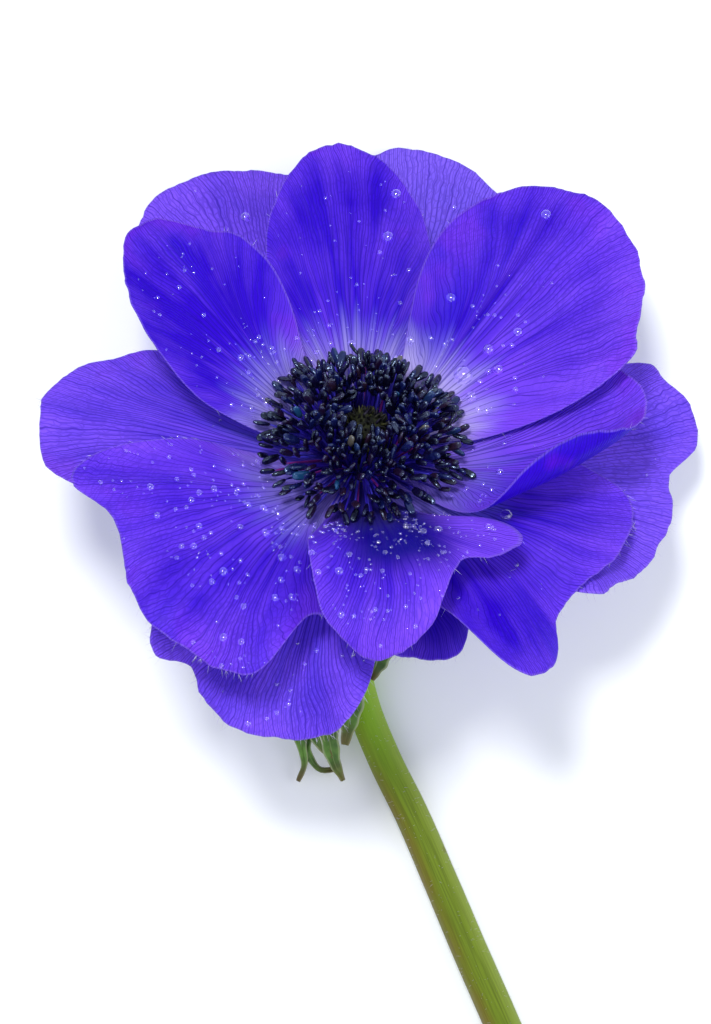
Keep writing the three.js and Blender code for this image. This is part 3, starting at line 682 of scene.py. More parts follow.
def copies_tree():
    """Repeats a small shape: hairs here, and styles, anthers, filaments and drops further on.

    The tree turns a copy to each point's facing, sizes it, gives it a random tone and makes it real mesh.
    """
    tree = bpy.data.node_groups.new("copies on points", "GeometryNodeTree")
    sockets = {
        "Points": "NodeSocketGeometry", "Shape": "NodeSocketObject", "Girth": "NodeSocketFloat",
        "Length": "NodeSocketFloat", "Unevenness": "NodeSocketFloat", "Seed": "NodeSocketInt",
        "Finish": "NodeSocketMaterial",
    }
    for key, kind in sockets.items():
        tree.interface.new_socket(name=key, in_out="INPUT", socket_type=kind)
    tree.interface.new_socket(name="Copies", in_out="OUTPUT", socket_type="NodeSocketGeometry")
    given = tree.nodes.new("NodeGroupInput").outputs
    result = tree.nodes.new("NodeGroupOutput").inputs

    def stored(name, kind):
        return wire(tree, "GeometryNodeInputNamedAttribute", name, data_type=kind).outputs["Attribute"]

    def drawn(low, high, salt):
        node = tree.nodes.new("FunctionNodeRandomValue")
        node.data_type = "FLOAT"
        node.inputs[2].default_value = low
        node.inputs[3].default_value = high
        tree.links.new(plus(tree, given["Seed"], salt), node.inputs["Seed"])
        return node.outputs[1]

    shape = tree.nodes.new("GeometryNodeObjectInfo")
    shape.inputs["As Instance"].default_value = True
    tree.links.new(given["Shape"], shape.inputs["Object"])
    facing = tree.nodes.new("FunctionNodeAlignRotationToVector")
    facing.axis = "Z"
    tree.links.new(stored("facing", "FLOAT_VECTOR"), facing.inputs["Vector"])
    spin = wire(tree, "FunctionNodeAxisAngleToRotation", (0, 0, 1), stored("turn", "FLOAT"))
    turned = wire(
        tree, "FunctionNodeRotateRotation", facing.outputs[0], spin.outputs[0], rotation_space="LOCAL"
    )
    uneven = calc(tree, "MULTIPLY_ADD", drawn(-1, 1, 3.0), given["Unevenness"], 1.0)
    girth = times(tree, times(tree, given["Girth"], uneven), stored("girth", "FLOAT"))
    length = times(tree, times(tree, given["Length"], uneven), stored("stretch", "FLOAT"))
    placed = tree.nodes.new("GeometryNodeInstanceOnPoints")
    for source, key in (
        (given["Points"], "Points"), (shape.outputs["Geometry"], "Instance"),
        (turned.outputs[0], "Rotation"), (at(tree, girth, girth, length), "Scale"),
    ):
        tree.links.new(source, placed.inputs[key])
    toned = tree.nodes.new("GeometryNodeStoreNamedAttribute")
    toned.data_type = "FLOAT"
    toned.domain = "INSTANCE"
    toned.inputs["Name"].default_value = "tone"
    tree.links.new(placed.outputs[0], toned.inputs["Geometry"])
    tree.links.new(drawn(0, 1, 11.0), toned.inputs["Value"])
    real = wire(tree, "GeometryNodeRealizeInstances", toned.outputs[0])
    done = wire(tree, "GeometryNodeSetMaterial", real.outputs[0])
    tree.links.new(given["Finish"], done.inputs["Material"])
    tree.links.new(done.outputs[0], result["Copies"])
    return tree


copies = copies_tree()


def place_copies(name, shape, spots, finish, girth, length, unevenness=0.0, seed=1):
    """One mesh of copies. A spot is its place in mm, the way that it faces, its turn, girth and stretch."""
    places, facings, turns, girths, stretches = zip(*spots)
    points = bpy.data.meshes.new(name + "_points")
    points.from_pydata([Vector(place) * MM for place in places], [], [])
    facing = points.attributes.new("facing", "FLOAT_VECTOR", "POINT")
    facing.data.foreach_set("vector", np.ravel(facings).astype(np.float32))
    for key, values in (("turn", turns), ("girth", girths), ("stretch", stretches)):
        points.attributes.new(key, "FLOAT", "POINT").data.foreach_set("value", np.array(values, np.float32))
    carrier = bpy.data.objects.new(name + "_points", points)
    scene.collection.objects.link(carrier)
    modifier = carrier.modifiers.new("copies", "NODES")
    modifier.node_group = copies
    chosen = {
        "Shape": shape, "Girth": girth * MM, "Length": length * MM, "Unevenness": unevenness, "Seed": seed,
        "Finish": finish,
    }
    for item in copies.interface.items_tree:
        if item.name in chosen:
            modifier[item.identifier] = chosen[item.name]
    bpy.context.view_layer.update()
    evaluated = carrier.evaluated_get(bpy.context.evaluated_depsgraph_get())
    mesh = bpy.data.meshes.new_from_object(evaluated)
    mesh.name = name
    bpy.data.objects.remove(carrier)
    bpy.data.objects.remove(shape)
    made = bpy.data.objects.new(name, mesh)
    scene.collection.objects.link(made)
    return made


def turned_shape(name, profile, sides, bend=0.0, flat=1.0, groove=0.0):
    """A closed unit shape round Z from pairs of height and radius, with a point at each end."""
    points, faces = [(0, 0, profile[0][0])], []
    for height, radius in profile[1:-1]:
        for k in range(sides):
            angle = 2 * pi * k / sides
            x, y = radius * cos(angle), radius * sin(angle) * flat
            y *= 1 - groove * np.exp(-((x / GROOVE_WIDTH) ** 2))
            points.append((x + bend * height**2, y, height))
    points.append((bend * profile[-1][0] ** 2, 0, profile[-1][0]))
    rings = len(profile) - 2
    for k in range(sides):
        following = (k + 1) % sides
        faces.append((0, 1 + following, 1 + k))
        for ring in range(rings - 1):
            a, b = 1 + ring * sides + k, 1 + ring * sides + following
            faces.append((a, b, b + sides, a + sides))
        last = 1 + (rings - 1) * sides
        faces.append((len(points) - 1, last + k, last + following))
    mesh = bpy.data.meshes.new(name)
    mesh.from_pydata(points, [], faces)
    mesh.shade_smooth()
    made = bpy.data.objects.new(name, mesh)
    scene.collection.objects.link(made)
    return made


def hair_shape():
    """A tapering thread that bends over, thickest at its foot."""
    return turned_shape("hair", HAIR_PROFILE, 3, bend=0.25)


def hair_finish():
    """Silky, from pale violet to white."""
    made, tree, shader = plain_finish("silky hair", shade(214, 206, 232), 0.35)
    colour = blend_colour(tree, attribute(tree, "tone"), shade(188, 176, 226), shade(240, 238, 244))
    tree.links.new(colour, shader.inputs["Base Color"])
    return made


silky = hair_finish()


def petal_hairs(name, p, seed):
    """Hairs at the margin that point outward, and hairs on the back. Few of them reach the table."""
    draw = random.Random(200 + seed)
    surface = surfaces[name]
    rows, columns = surface["thick"].shape
    spots = []
    while len(spots) < p["hairs"]:
        t = draw.uniform(-0.93, 0.93)
        at_margin = draw.random() < MARGIN_SHARE
        i = rows - 1 if at_margin else int(rows * draw.uniform(0.45, 0.97))
        j = int((t + 1) / 2 * (columns - 1))
        # Tufts, with barer stretches between them
        if noise.noise(Vector((t * 3.1, seed, 5))) + draw.uniform(-0.4, 0.4) < 0:
            continue
        place = surface["middle"][i, j]
        back = -surface["normals"][i, j]
        outward = unit(surface["middle"][rows - 1, j] - surface["middle"][rows - 4, j])
        loose = np.array([draw.gauss(0, 0.35) for _ in range(3)])
        facing = unit(outward * draw.uniform(0.5, 1) + back * draw.uniform(0.1, 0.9) + loose)
        if not at_margin:
            place = place + back * surface["thick"][i, j] / 2
            facing = unit(back * 0.6 + outward * 0.6 + loose)
        if place[2] + facing[2] * HAIR_LENGTH > 0.05 and place[2] > 0.3:
            spots.append((place, facing, draw.uniform(0, 2 * pi), 1, draw.uniform(0.6, 1.4)))
    made = place_copies(
        name + "_hairs", hair_shape(), spots, silky, HAIR_GIRTH, HAIR_LENGTH, HAIR_UNEVENNESS, seed
    )
    hand_over(made)


for number, (name, p) in enumerate(PETALS.items()):
    petal_hairs(name, p, number + 1)

# Stem
# A juicy, finely ribbed stalk that hangs from the flower, bends down to the table and lies along it.
# Its top swells into the receptacle, and its cut end is flat.
STEM_RADIUS = 2.5  # mm
STEM_SIDES = 40
STEM_STEPS = 260
STEM_RIBS = 9
RIB_HEIGHT = 0.006  # of the stem's radius
LUMP_HEIGHT = 0.012  # of the stem's radius
# Depth below the heart along the flower's axis, and radius, in mm
RECEPTACLE = ((-0.3, 3.2), (0.8, 3.35), (2.6, 3.35), (4.4, 3.2), (5.8, 2.6), (7.5, 2.25))
# Places from the heart in mm, first in the air and then on the table
FALLING_STEM = ((-1.1, -6.9, -9.6), (-1.6, -11, -14.8), (-1.9, -15.5, -18.8), (-1.8, -20.5, -21.3))
LYING_STEM = (
    (-1.4, -26), (-0.6, -31.5), (0.5, -36), (3.5, -43.5), (7.1, -50.8),
    (11.5, -60.9), (15.8, -71.1), (20.5, -81.8), (29, -103), (38, -127),
)
FALLING_SHARE = 0.9  # of the stem's radius, which is thinner just below the flower
LYING_SHARES = (0.92, 1.08)  # of the stem's radius, where it reaches the table and at its cut end
LYING_HEIGHT = 1.01  # of the lying stem's middle above the table, in radii
STEM_HAIRS = 520  # a few of them are left out near the table
STEM_HAIR_LENGTH = 0.7  # mm
STEM_HAIR_GIRTH = 0.03  # mm
FIRST_HAIR_STEP = 30  # step of the stem's line below the receptacle
HANGING_HEIGHT = 6  # of the stem's middle above the table, in mm. Above it hairs grow underneath too


def smooth_line(points, steps):
    """Even steps along a smooth line through uneven points."""
    points = np.asarray(points, float)
    far = np.concatenate([[0], np.cumsum(np.linalg.norm(np.diff(points[:, :3], axis=0), axis=1))])
    slopes = np.gradient(points, far, axis=0)
    at_far = np.linspace(0, far[-1], steps + 1)
    i = np.clip(np.searchsorted(far, at_far, side="right") - 1, 0, len(far) - 2)
    width = (far[i + 1] - far[i])[:, None]
    f = ((at_far - far[i])[:, None]) / width
    return (
        (2 * f**3 - 3 * f**2 + 1) * points[i] + (f**3 - 2 * f**2 + f) * width * slopes[i]
        + (3 * f**2 - 2 * f**3) * points[i + 1] + (f**3 - f**2) * width * slopes[i + 1]
    )


def stem_line():
    """Places along the middle of the stem with the radius as a fourth number."""
    line = [(*in_part([0, 0, -depth]), radius) for depth, radius in RECEPTACLE]
    line += [(*(HEART + place), FALLING_SHARE * STEM_RADIUS) for place in FALLING_STEM]
    thin, thick = LYING_SHARES
    for k, (x, y) in enumerate(LYING_STEM):
        radius = STEM_RADIUS * (thin + (thick - thin) * k / (len(LYING_STEM) - 1))
        line.append((HEART[0] + x, HEART[1] + y, radius * LYING_HEIGHT, radius))
    return smooth_line(line, STEM_STEPS)


def stem_finish():
    """Matt green with fine fibres and specks, flushed brown on one side, and yellower near the flower,
    where painted light also makes it lighter against the flower's shade.
    """
    made, tree, shader = plain_finish("stem green", shade(120, 145, 52), 0.48, 0.22)
    spot = object_place(tree)
    around = attribute(tree, "around")
    along = attribute(tree, "along_mm")

    def facing(side, start):
        """1 on the side of the stem at that angle from its right edge over the top, 0 past start."""
        return ramp(tree, calc(tree, "COSINE", minus(tree, around, side)), start, 1)

    fibres = cloudy(tree, at(tree, times(tree, around, 4.0), times(tree, along, 0.035)), 3.0, 3)
    colour = blend_colour(tree, ramp(tree, fibres, 0.35, 0.65), shade(90, 108, 16), shade(110, 132, 24))
    # Yellower near the flower, and lighter there from painted light against the flower's shade
    yellow_and_painted_light = times(tree, ramp(tree, along, 12, 34, 0.5, 1), ramp(tree, along, 32, 64, 1, 0))
    colour = blend_colour(tree, times(tree, yellow_and_painted_light, 0.9), colour, shade(172, 235, 60))
    # The side that faces left is flushed brownish red, and a pale streak runs down the other one
    uneven = ramp(tree, cloudy(tree, spot, 130, 2), 0.3, 0.7, 0.4, 1)
    flushed = times(tree, times(tree, facing(0.3, 0.35), uneven), ramp(tree, along, 20, 70, 0.1, 0.55))
    colour = blend_colour(tree, flushed, colour, shade(122, 84, 40))
    colour = blend_colour(tree, times(tree, facing(2.8, 0.6), 0.35), colour, shade(166, 186, 84))
    # The receptacle has the dark violet of the filaments that it carries
    colour = blend_colour(tree, ramp(tree, along, 7.5, 4.5, 0, 0.9), colour, shade(36, 28, 92))
    specks = wire(tree, "ShaderNodeTexVoronoi", spot, feature="F1")
    specks.inputs["Scale"].default_value = 150
    speck = times(tree, ramp(tree, specks.outputs["Distance"], 0.05, 0.1, 1, 0), 0.35)
    colour = blend_colour(tree, speck, colour, shade(92, 70, 30))
    tree.links.new(colour, shader.inputs["Base Color"])
    relief = plus(tree, fibres, times(tree, cloudy(tree, spot, 2600, 2), 0.4))
    add_relief(tree, shader, relief, 0.4, 0.1)
    let_light_through(tree, shader, colour, 0.12)
    return made


def stem():
    """The closed stalk, and its middle line with the directions across and over it for the hairs."""
    line = stem_line()
    place, radius = line[:, :3], line[:, 3]
    direction = unit(np.gradient(place, axis=0))
    across = unit(np.cross(direction, [0, 0, 1]))
    over = np.cross(across, direction)
    angle = 2 * pi * np.arange(STEM_SIDES) / STEM_SIDES
    along = np.concatenate([[0], np.cumsum(np.linalg.norm(np.diff(place, axis=0), axis=1))])
    # Even ribs, and slow lumps that run along the stem
    lumps = roughly(*np.meshgrid(along / 7, np.cos(angle), indexing="ij"), 5)
    ribs = RIB_HEIGHT * np.cos(STEM_RIBS * angle)[None, :] + LUMP_HEIGHT * lumps
    reach = radius[:, None] * (1 + ribs)
    rings = (
        place[:, None] + across[:, None] * (np.cos(angle) * reach)[..., None]
        + over[:, None] * (np.sin(angle) * reach)[..., None]
    )
    rings[..., 2] = np.maximum(rings[..., 2], 0)
    count = len(place)
    ids = np.arange(count * STEM_SIDES).reshape(count, STEM_SIDES)
    following = np.roll(ids, -1, axis=1)
    faces = np.stack([ids[:-1], ids[1:], following[1:], following[:-1]], -1).reshape(-1, 4).tolist()
    faces += [ids[0].tolist(), ids[-1][::-1].tolist()]
    around = np.broadcast_to(np.where(angle > pi, angle - 2 * pi, angle), ids.shape)
    far = np.broadcast_to(along[:, None], ids.shape)
    made = make_mesh("stem_stalk", rings.reshape(-1, 3), faces, stem_finish(), around=around, along_mm=far)
    outward = bmesh.new()
    outward.from_mesh(made.data)
    bmesh.ops.recalc_face_normals(outward, faces=outward.faces)
    outward.to_mesh(made.data)
    outward.free()
    hand_over(made, ["stem"])
    return line, across, over


stem_places, stem_across, stem_over = stem()


def stem_hairs():
    """Short fine hairs along the stem, most of the way round it where it hangs, on top where it lies."""
    draw = random.Random(31)
    spots = []
    for _ in range(STEM_HAIRS):
        k = draw.randrange(FIRST_HAIR_STEP, len(stem_places) - 1)
        hangs = stem_places[k][2] > HANGING_HEIGHT
        angle = draw.uniform(-0.35 * pi, 1.35 * pi) if hangs else draw.uniform(0, pi)
        out = stem_across[k] * cos(angle) + stem_over[k] * sin(angle)
        facing = unit(out + np.array([draw.gauss(0, 0.3) for _ in range(3)]))
        place = stem_places[k][:3] + out * stem_places[k][3] * 0.99
        if place[2] > 0.8:
            spots.append((place, facing, draw.uniform(0, 2 * pi), 1, draw.uniform(0.5, 1.2)))
    made = place_copies(
        "stem_hairs", hair_shape(), spots, silky, STEM_HAIR_GIRTH, STEM_HAIR_LENGTH, HAIR_UNEVENNESS, 3
    )
    hand_over(made)


stem_hairs()

# Pistil
# A downy dome of many carpels in the middle of the flower, each with a short dark style.
# It grows on the top of the receptacle, inside the ring of stamens.
PISTIL_RADIUS = 3.9  # mm
PISTIL_BASE = 3.4  # height of its foot above the heart, in mm
PISTIL_HEIGHT = 5.8  # mm
PISTIL_RINGS = 14
PISTIL_SIDES = 36
STYLE_COUNT = 190
STYLE_SPREAD = 0.92  # 1 would take them down to the foot of the dome
STYLE_LENGTH = 1.0  # mm
STYLE_GIRTH = 0.42  # mm
STYLE_PROFILE = ((-0.3, 0), (-0.1, 0.5), (0.4, 0.42), (0.8, 0.2), (1, 0))
STYLE_TONES = (
    (0, shade(14, 13, 20)), (0.5, shade(32, 32, 26)), (0.74, shade(62, 64, 36)), (0.9, shade(26, 20, 44)),
)
GOLDEN_ANGLE = pi * (3 - sqrt(5))  # turn from one carpel or stamen to the next


def toned_colours(tree, stops):
    """A colour for each copy's tone, from pairs of the tone at which it starts and what it is."""
    node = tree.nodes.new("ShaderNodeValToRGB")
    node.color_ramp.interpolation = "CONSTANT"
    for k, (start, colour) in enumerate(stops):
        stop = node.color_ramp.elements[k] if k < 2 else node.color_ramp.elements.new(start)
        stop.position = start
        stop.color = colour
    tree.links.new(attribute(tree, "tone"), node.inputs[0])
    return node.outputs[0]


def pistil_dome():
    """The knobbly dome that the carpels make together."""
    points, faces = [], []
    for i in range(PISTIL_RINGS):
        polar = (i + 0.5) / PISTIL_RINGS * pi / 2
        for k in range(PISTIL_SIDES):
            angle = 2 * pi * k / PISTIL_SIDES
            # Nine low knobs in each ring, turned on from ring to ring
            out = 1 + 0.03 * cos(9 * angle + 2.4 * i)
            points.append((
                PISTIL_RADIUS * sin(polar) * cos(angle) * out,
                PISTIL_RADIUS * sin(polar) * sin(angle) * out,
                PISTIL_BASE + PISTIL_HEIGHT * cos(polar) * out,
            ))
    points += [(0, 0, PISTIL_BASE + PISTIL_HEIGHT), (0, 0, PISTIL_BASE - 0.4)]
    last = (PISTIL_RINGS - 1) * PISTIL_SIDES
    for k in range(PISTIL_SIDES):
        following = (k + 1) % PISTIL_SIDES
        faces.append((len(points) - 2, k, following))
        for i in range(PISTIL_RINGS - 1):
            a, b = i * PISTIL_SIDES + k, i * PISTIL_SIDES + following
            faces.append((a, a + PISTIL_SIDES, b + PISTIL_SIDES, b))
        faces.append((len(points) - 1, last + following, last + k))
    finish, tree, shader = plain_finish("pistil green", shade(46, 50, 30), 0.8, 0.2)
    patches = ramp(tree, cloudy(tree, object_place(tree), 900, 3), 0.35, 0.65)
    colour = blend_colour(tree, patches, shade(16, 18, 18), shade(44, 48, 30))
    tree.links.new(colour, shader.inputs["Base Color"])
    hand_over(make_mesh("pistil_dome", in_part(points), faces, finish), ["pistil"])


def pistil_styles():
    """Short tapering styles that stand evenly over the dome."""
    spots = []
    draw = random.Random(17)
    for i in range(STYLE_COUNT):
        polar = np.arccos(1 - STYLE_SPREAD * (i + 0.5) / STYLE_COUNT)
        angle = i * GOLDEN_ANGLE
        out = np.array([sin(polar) * cos(angle), sin(polar) * sin(angle), cos(polar)])
        place = out * [PISTIL_RADIUS, PISTIL_RADIUS, PISTIL_HEIGHT] + [0, 0, PISTIL_BASE]
        facing = unit(out + np.array([draw.gauss(0, 0.25) for _ in range(3)]))
        spots.append((in_part(place), facing @ FLOWER_AXES, draw.uniform(0, 6), 1, draw.uniform(0.7, 1.2)))
    style = turned_shape("style", STYLE_PROFILE, 6, bend=0.2)
    finish, tree, shader = plain_finish("styles", shade(40, 36, 40), 0.55, 0.3)
    tree.links.new(toned_colours(tree, STYLE_TONES), shader.inputs["Base Color"])
    made = place_copies("pistil_styles", style, spots, finish, STYLE_GIRTH, STYLE_LENGTH, 0.15, 5)
    hand_over(made)


pistil_dome()
pistil_styles()

# Stamens
# A dense boss of dark, two-lobed anthers on thin violet-blue filaments, all rooted round the pistil.
# The inner ones stand up round it, the outer ones spread over the feet of the petals.
ANTHER_LENGTH = 2.5  # mm
ANTHER_GIRTH = 1.05  # mm
ANTHER_PROFILE = (
    (-0.5, 0), (-0.47, 0.2), (-0.38, 0.38), (-0.2, 0.47), (0, 0.5), (0.2, 0.48), (0.36, 0.42), (0.46, 0.26),
    (0.5, 0),
)
ANTHER_TONES = (
    (0, shade(8, 6, 26)), (0.34, shade(14, 9, 44)), (0.58, shade(26, 12, 40)), (0.74, shade(12, 18, 70)),
    (0.9, shade(38, 22, 42)), (0.95, shade(26, 44, 88)), (0.98, shade(24, 66, 110)),
    (0.992, shade(96, 92, 84)),
)
FILAMENT_GIRTH = 0.4  # mm
FILAMENT_RING = 4.1  # radius at which the filaments are rooted, in mm
FILAMENT_FOOT = 2.7  # height of the innermost roots above the heart, in mm
FILAMENT_DROP = 0.9  # how much lower the outermost roots are, in mm
BOSS_RADIUS = 14  # mm
HELD_BELOW = 0.3  # how far below an anther's middle its filament ends, in lengths of the anther
FILAMENT_PROFILE = ((-0.03, 0), (0, 0.5), (0.3, 0.46), (0.6, 0.42), (0.9, 0.36), (1, 0))
FILAMENT_TONES = (
    (0, shade(48, 34, 176)), (0.35, shade(66, 58, 200)), (0.6, shade(38, 22, 140)),
    (0.93, shade(120, 36, 130)),
)
# Number, reach from the flower's axis, height above the heart, and lean of the anther from upright, each
# for the innermost and the outermost one, in mm and degrees
WHORLS = (
    (200, (3.7, 8.8), (10.9, 9.4), (-30, 35)),
    (110, (8.4, 11.8), (9.2, 7.0), (25, 60)),
    (170, (11.2, 14.4), (7.2, 4.6), (50, 88)),
)


def stamen_spots():
    """Places of the anthers, and of the filaments that each run from the ring to just below an anther."""
    draw = random.Random(23)
    anthers, filaments = [], []
    i = 0
    for count, reaches, heights, leans in WHORLS:
        for k in range(count):
            share = (k + 0.5) / count
            i += 1
            angle = i * GOLDEN_ANGLE
            # They gather a little in seven loose bunches
            angle += 0.07 * sin(7 * angle) + draw.gauss(0, 0.04)
            around = np.array([cos(angle), sin(angle), 0])
            beside = np.array([-sin(angle), cos(angle), 0])
            reach = reaches[0] + (reaches[1] - reaches[0]) * share + draw.gauss(0, 0.45)
            height = heights[0] + (heights[1] - heights[0]) * share + draw.gauss(0, 0.55)
            top = around * reach + [0, 0, height]
            root = FILAMENT_FOOT - FILAMENT_DROP * min(reach / BOSS_RADIUS, 1)
            foot = around * FILAMENT_RING + [0, 0, root]
            tipped = radians(leans[0] + (leans[1] - leans[0]) * share + draw.gauss(0, 15))
            pointing = unit(around * sin(tipped) + [0, 0, cos(tipped)] + beside * draw.gauss(0, 0.22))
            size = draw.uniform(0.85, 1.15)
            anthers.append((in_part(top), pointing @ FLOWER_AXES, draw.uniform(0, 2 * pi), size, size))
            held = top - pointing * ANTHER_LENGTH * HELD_BELOW
            way = held - foot
            turn = draw.uniform(0, 2 * pi)
            filaments.append((in_part(foot), unit(way) @ FLOWER_AXES, turn, 1, np.linalg.norm(way)))
    return anthers, filaments


def stamens():
    """Glossy blue-black anthers with a groove, a few of them paler, on curved filaments."""
    anthers, filaments = stamen_spots()
    anther = turned_shape("anther", ANTHER_PROFILE, 14, flat=0.72, groove=0.5)
    finish, tree, shader = plain_finish("anther black", shade(14, 12, 26), 0.14, 1.0)
    shader.inputs["Specular Tint"].default_value = (0.5, 0.68, 1, 1)
    spot = object_place(tree)
    dusty = ramp(tree, cloudy(tree, spot, 1500, 3), 0.5, 0.75, 0, 0.16)
    colour = blend_colour(tree, dusty, toned_colours(tree, ANTHER_TONES), shade(64, 76, 150))
    tree.links.new(colour, shader.inputs["Base Color"])
    add_relief(tree, shader, cloudy(tree, spot, 4200, 2), 0.5, 0.06)
    made = place_copies("stamens_anthers", anther, anthers, finish, ANTHER_GIRTH, ANTHER_LENGTH, 0.1, 7)
    hand_over(made, ["stamens"])

    filament = turned_shape("filament", FILAMENT_PROFILE, 6, bend=0.4)
    finish, tree, shader = plain_finish("filament violet", shade(54, 38, 180), 0.4, 0.3)
    tree.links.new(toned_colours(tree, FILAMENT_TONES), shader.inputs["Base Color"])
    made = place_copies("stamens_filaments", filament, filaments, finish, FILAMENT_GIRTH, 1.0, 0.0, 9)
    hand_over(made, ["stamens"])


stamens()

# Bracts
# Three finely cut green leaves in a whorl on the stem, with pale edges and brown tips that curl.
# Each lobe is a soft blade, folded along its middle vein, and they join where they leave the stem.
BRACT_THICKNESS = 0.5  # mm
BRACT_ROWS = 44
BRACT_COLUMNS = 11
BRACT_LIFT = 0.02  # mm that a lobe keeps above the table
TOOTH_DEPTH = 0.07  # of a lobe's half width
TOOTH_PACE = 46  # radians of the edge's waves in the length of a lobe
FOLD_HEIGHT = 0.42  # of a lobe's half width
BLADE_WAVE = 0.16  # mm
# Each lobe: places from the heart in X and Y and above the table in Z, then its half widths, in mm
BRACTS = {
    "bract_left": (
        (((-5, -22.5, 5), (-7.2, -28, 7.5), (-8.6, -35, 7.2), (-8.7, -40.5, 5.2), (-8.2, -44.2, 3),
          (-9.1, -46.6, 1.2)),
         (1.1, 1.3, 1.4, 1.4, 0.6, 0.3)),
        (((-5, -22.8, 4.8), (-6, -29, 6.2), (-6.9, -36, 5.4), (-7.6, -42.6, 3.2), (-5.8, -45, 1.9),
          (-3.4, -44.9, 1.2)),
         (1.1, 1.1, 1.1, 0.9, 0.5, 0.35)),
        (((-5, -23, 5.4), (-5.6, -29, 8), (-6.4, -36, 8), (-6.3, -40, 6.6), (-4.1, -43, 4.6)),
         (1.1, 1.1, 1.2, 1.1, 0.4)),
        (((-4.8, -23.2, 5.2), (-5, -30, 7), (-4.8, -38, 7), (-3.9, -43.4, 4.6), (-2.6, -46.5, 2.2)),
         (1.1, 1.1, 1.5, 1.2, 0.3)),
    ),
    "bract_front": (
        (((-1.8, -22.6, 6.2), (-1.2, -28, 9.8), (-1.3, -35, 10), (-2.3, -41, 8.2)), (1.1, 1.3, 1.7, 0.5)),
        (((-1.7, -22.4, 6.4), (1.2, -23.5, 10), (2.6, -27, 10.6), (1.4, -31.6, 8.6)), (1.1, 1.5, 1.9, 0.6)),
    ),
    "bract_right": (
        (((1.4, -20.4, 3.4), (5.5, -19, 5.6), (10.5, -19.5, 5.2), (15, -22, 2.4)), (1.2, 1.3, 1.4, 0.4)),
        (((1.4, -20.8, 3.6), (4, -21.8, 5.6), (6.4, -23.8, 5.6), (8, -26.2, 3.8)), (1.2, 1.2, 1.4, 0.4)),
    ),
}


def bract_finish():
    """Leaf green in patches, with a light middle vein, a pale edge and a brown tip."""
    made, tree, shader = plain_finish("bract green", shade(86, 116, 58), 0.5)
    spot = object_place(tree)
    edge = attribute(tree, "edge")
    tip = attribute(tree, "tip")
    patches = ramp(tree, cloudy(tree, spot, 260, 3), 0.35, 0.65)
    colour = blend_colour(tree, patches, shade(54, 92, 32), shade(106, 152, 62))
    colour = blend_colour(tree, ramp(tree, edge, 0.02, 0.14, 0.5, 0), colour, shade(150, 168, 106))
    colour = blend_colour(tree, ramp(tree, edge, 0.78, 0.98, 0, 0.75), colour, shade(172, 184, 140))
    colour = blend_colour(tree, ramp(tree, tip, 0.8, 1.0, 0, 0.7), colour, shade(110, 80, 48))
    tree.links.new(colour, shader.inputs["Base Color"])
    add_relief(tree, shader, cloudy(tree, spot, 1700, 3), 0.4, 0.1)
    let_light_through(tree, shader, colour, 0.2)
    return made


bract_green = bract_finish()


def lobe(name, places, widths, seed):
    """One lobe: a folded strip with a finely toothed edge, closed all round."""
    stations = [(*(HEART[:2] + place[:2]), place[2]) for place in map(np.array, places)]
    middle = smooth_line(stations, BRACT_ROWS - 1)
    share = np.linspace(0, 1, BRACT_ROWS)
    along = unit(np.gradient(middle, axis=0))
    across = unit(np.cross([0, 0, 1], along))
    over = np.cross(along, across)
    side = np.linspace(-1, 1, BRACT_COLUMNS)
    # The edge is toothed, the halves fold up from the middle vein, and the blade waves a little
    width = through(widths, share) * (1 + TOOTH_DEPTH * np.sin(share * TOOTH_PACE + seed))
    folded = (np.abs(side) ** 1.3 * FOLD_HEIGHT - 0.25)[None, :] * width[:, None]
    wave = BLADE_WAVE * roughly(*np.meshgrid(share * 7, side * 1.5, indexing="ij"), seed)
    points = (
        middle[:, None] + across[:, None] * (side[None, :] * width[:, None])[..., None]
        + over[:, None] * (folded + wave)[..., None]
    )
    normals = grid_normals(points)
    thick = BRACT_THICKNESS * (1 - 0.6 * np.abs(side) ** 3)[None, :, None]
    sides = np.stack([points + normals * thick / 2, points - normals * thick / 2])
    sides[..., 2] = np.maximum(sides[..., 2], BRACT_LIFT)
    edge = np.broadcast_to(np.abs(side), points.shape[:2])
    tip = np.broadcast_to(share[:, None], points.shape[:2])
    return make_mesh(
        name, sides.reshape(-1, 3), sheet_faces(BRACT_ROWS, BRACT_COLUMNS, BRACT_ROWS * BRACT_COLUMNS),
        bract_green, edge=np.stack([edge, edge]), tip=np.stack([tip, tip]),
    )


for bract, lobes in BRACTS.items():
    for k, (places, widths) in enumerate(lobes):
        hand_over(lobe(f"{bract}_lobe_{k + 1}", places, widths, k + 1), [bract])

# Water drops
# Clear drops of a fine spray, beaded on the petals. The larger ones have their own places, and the
# rest are scattered, densest on the two lower petals.

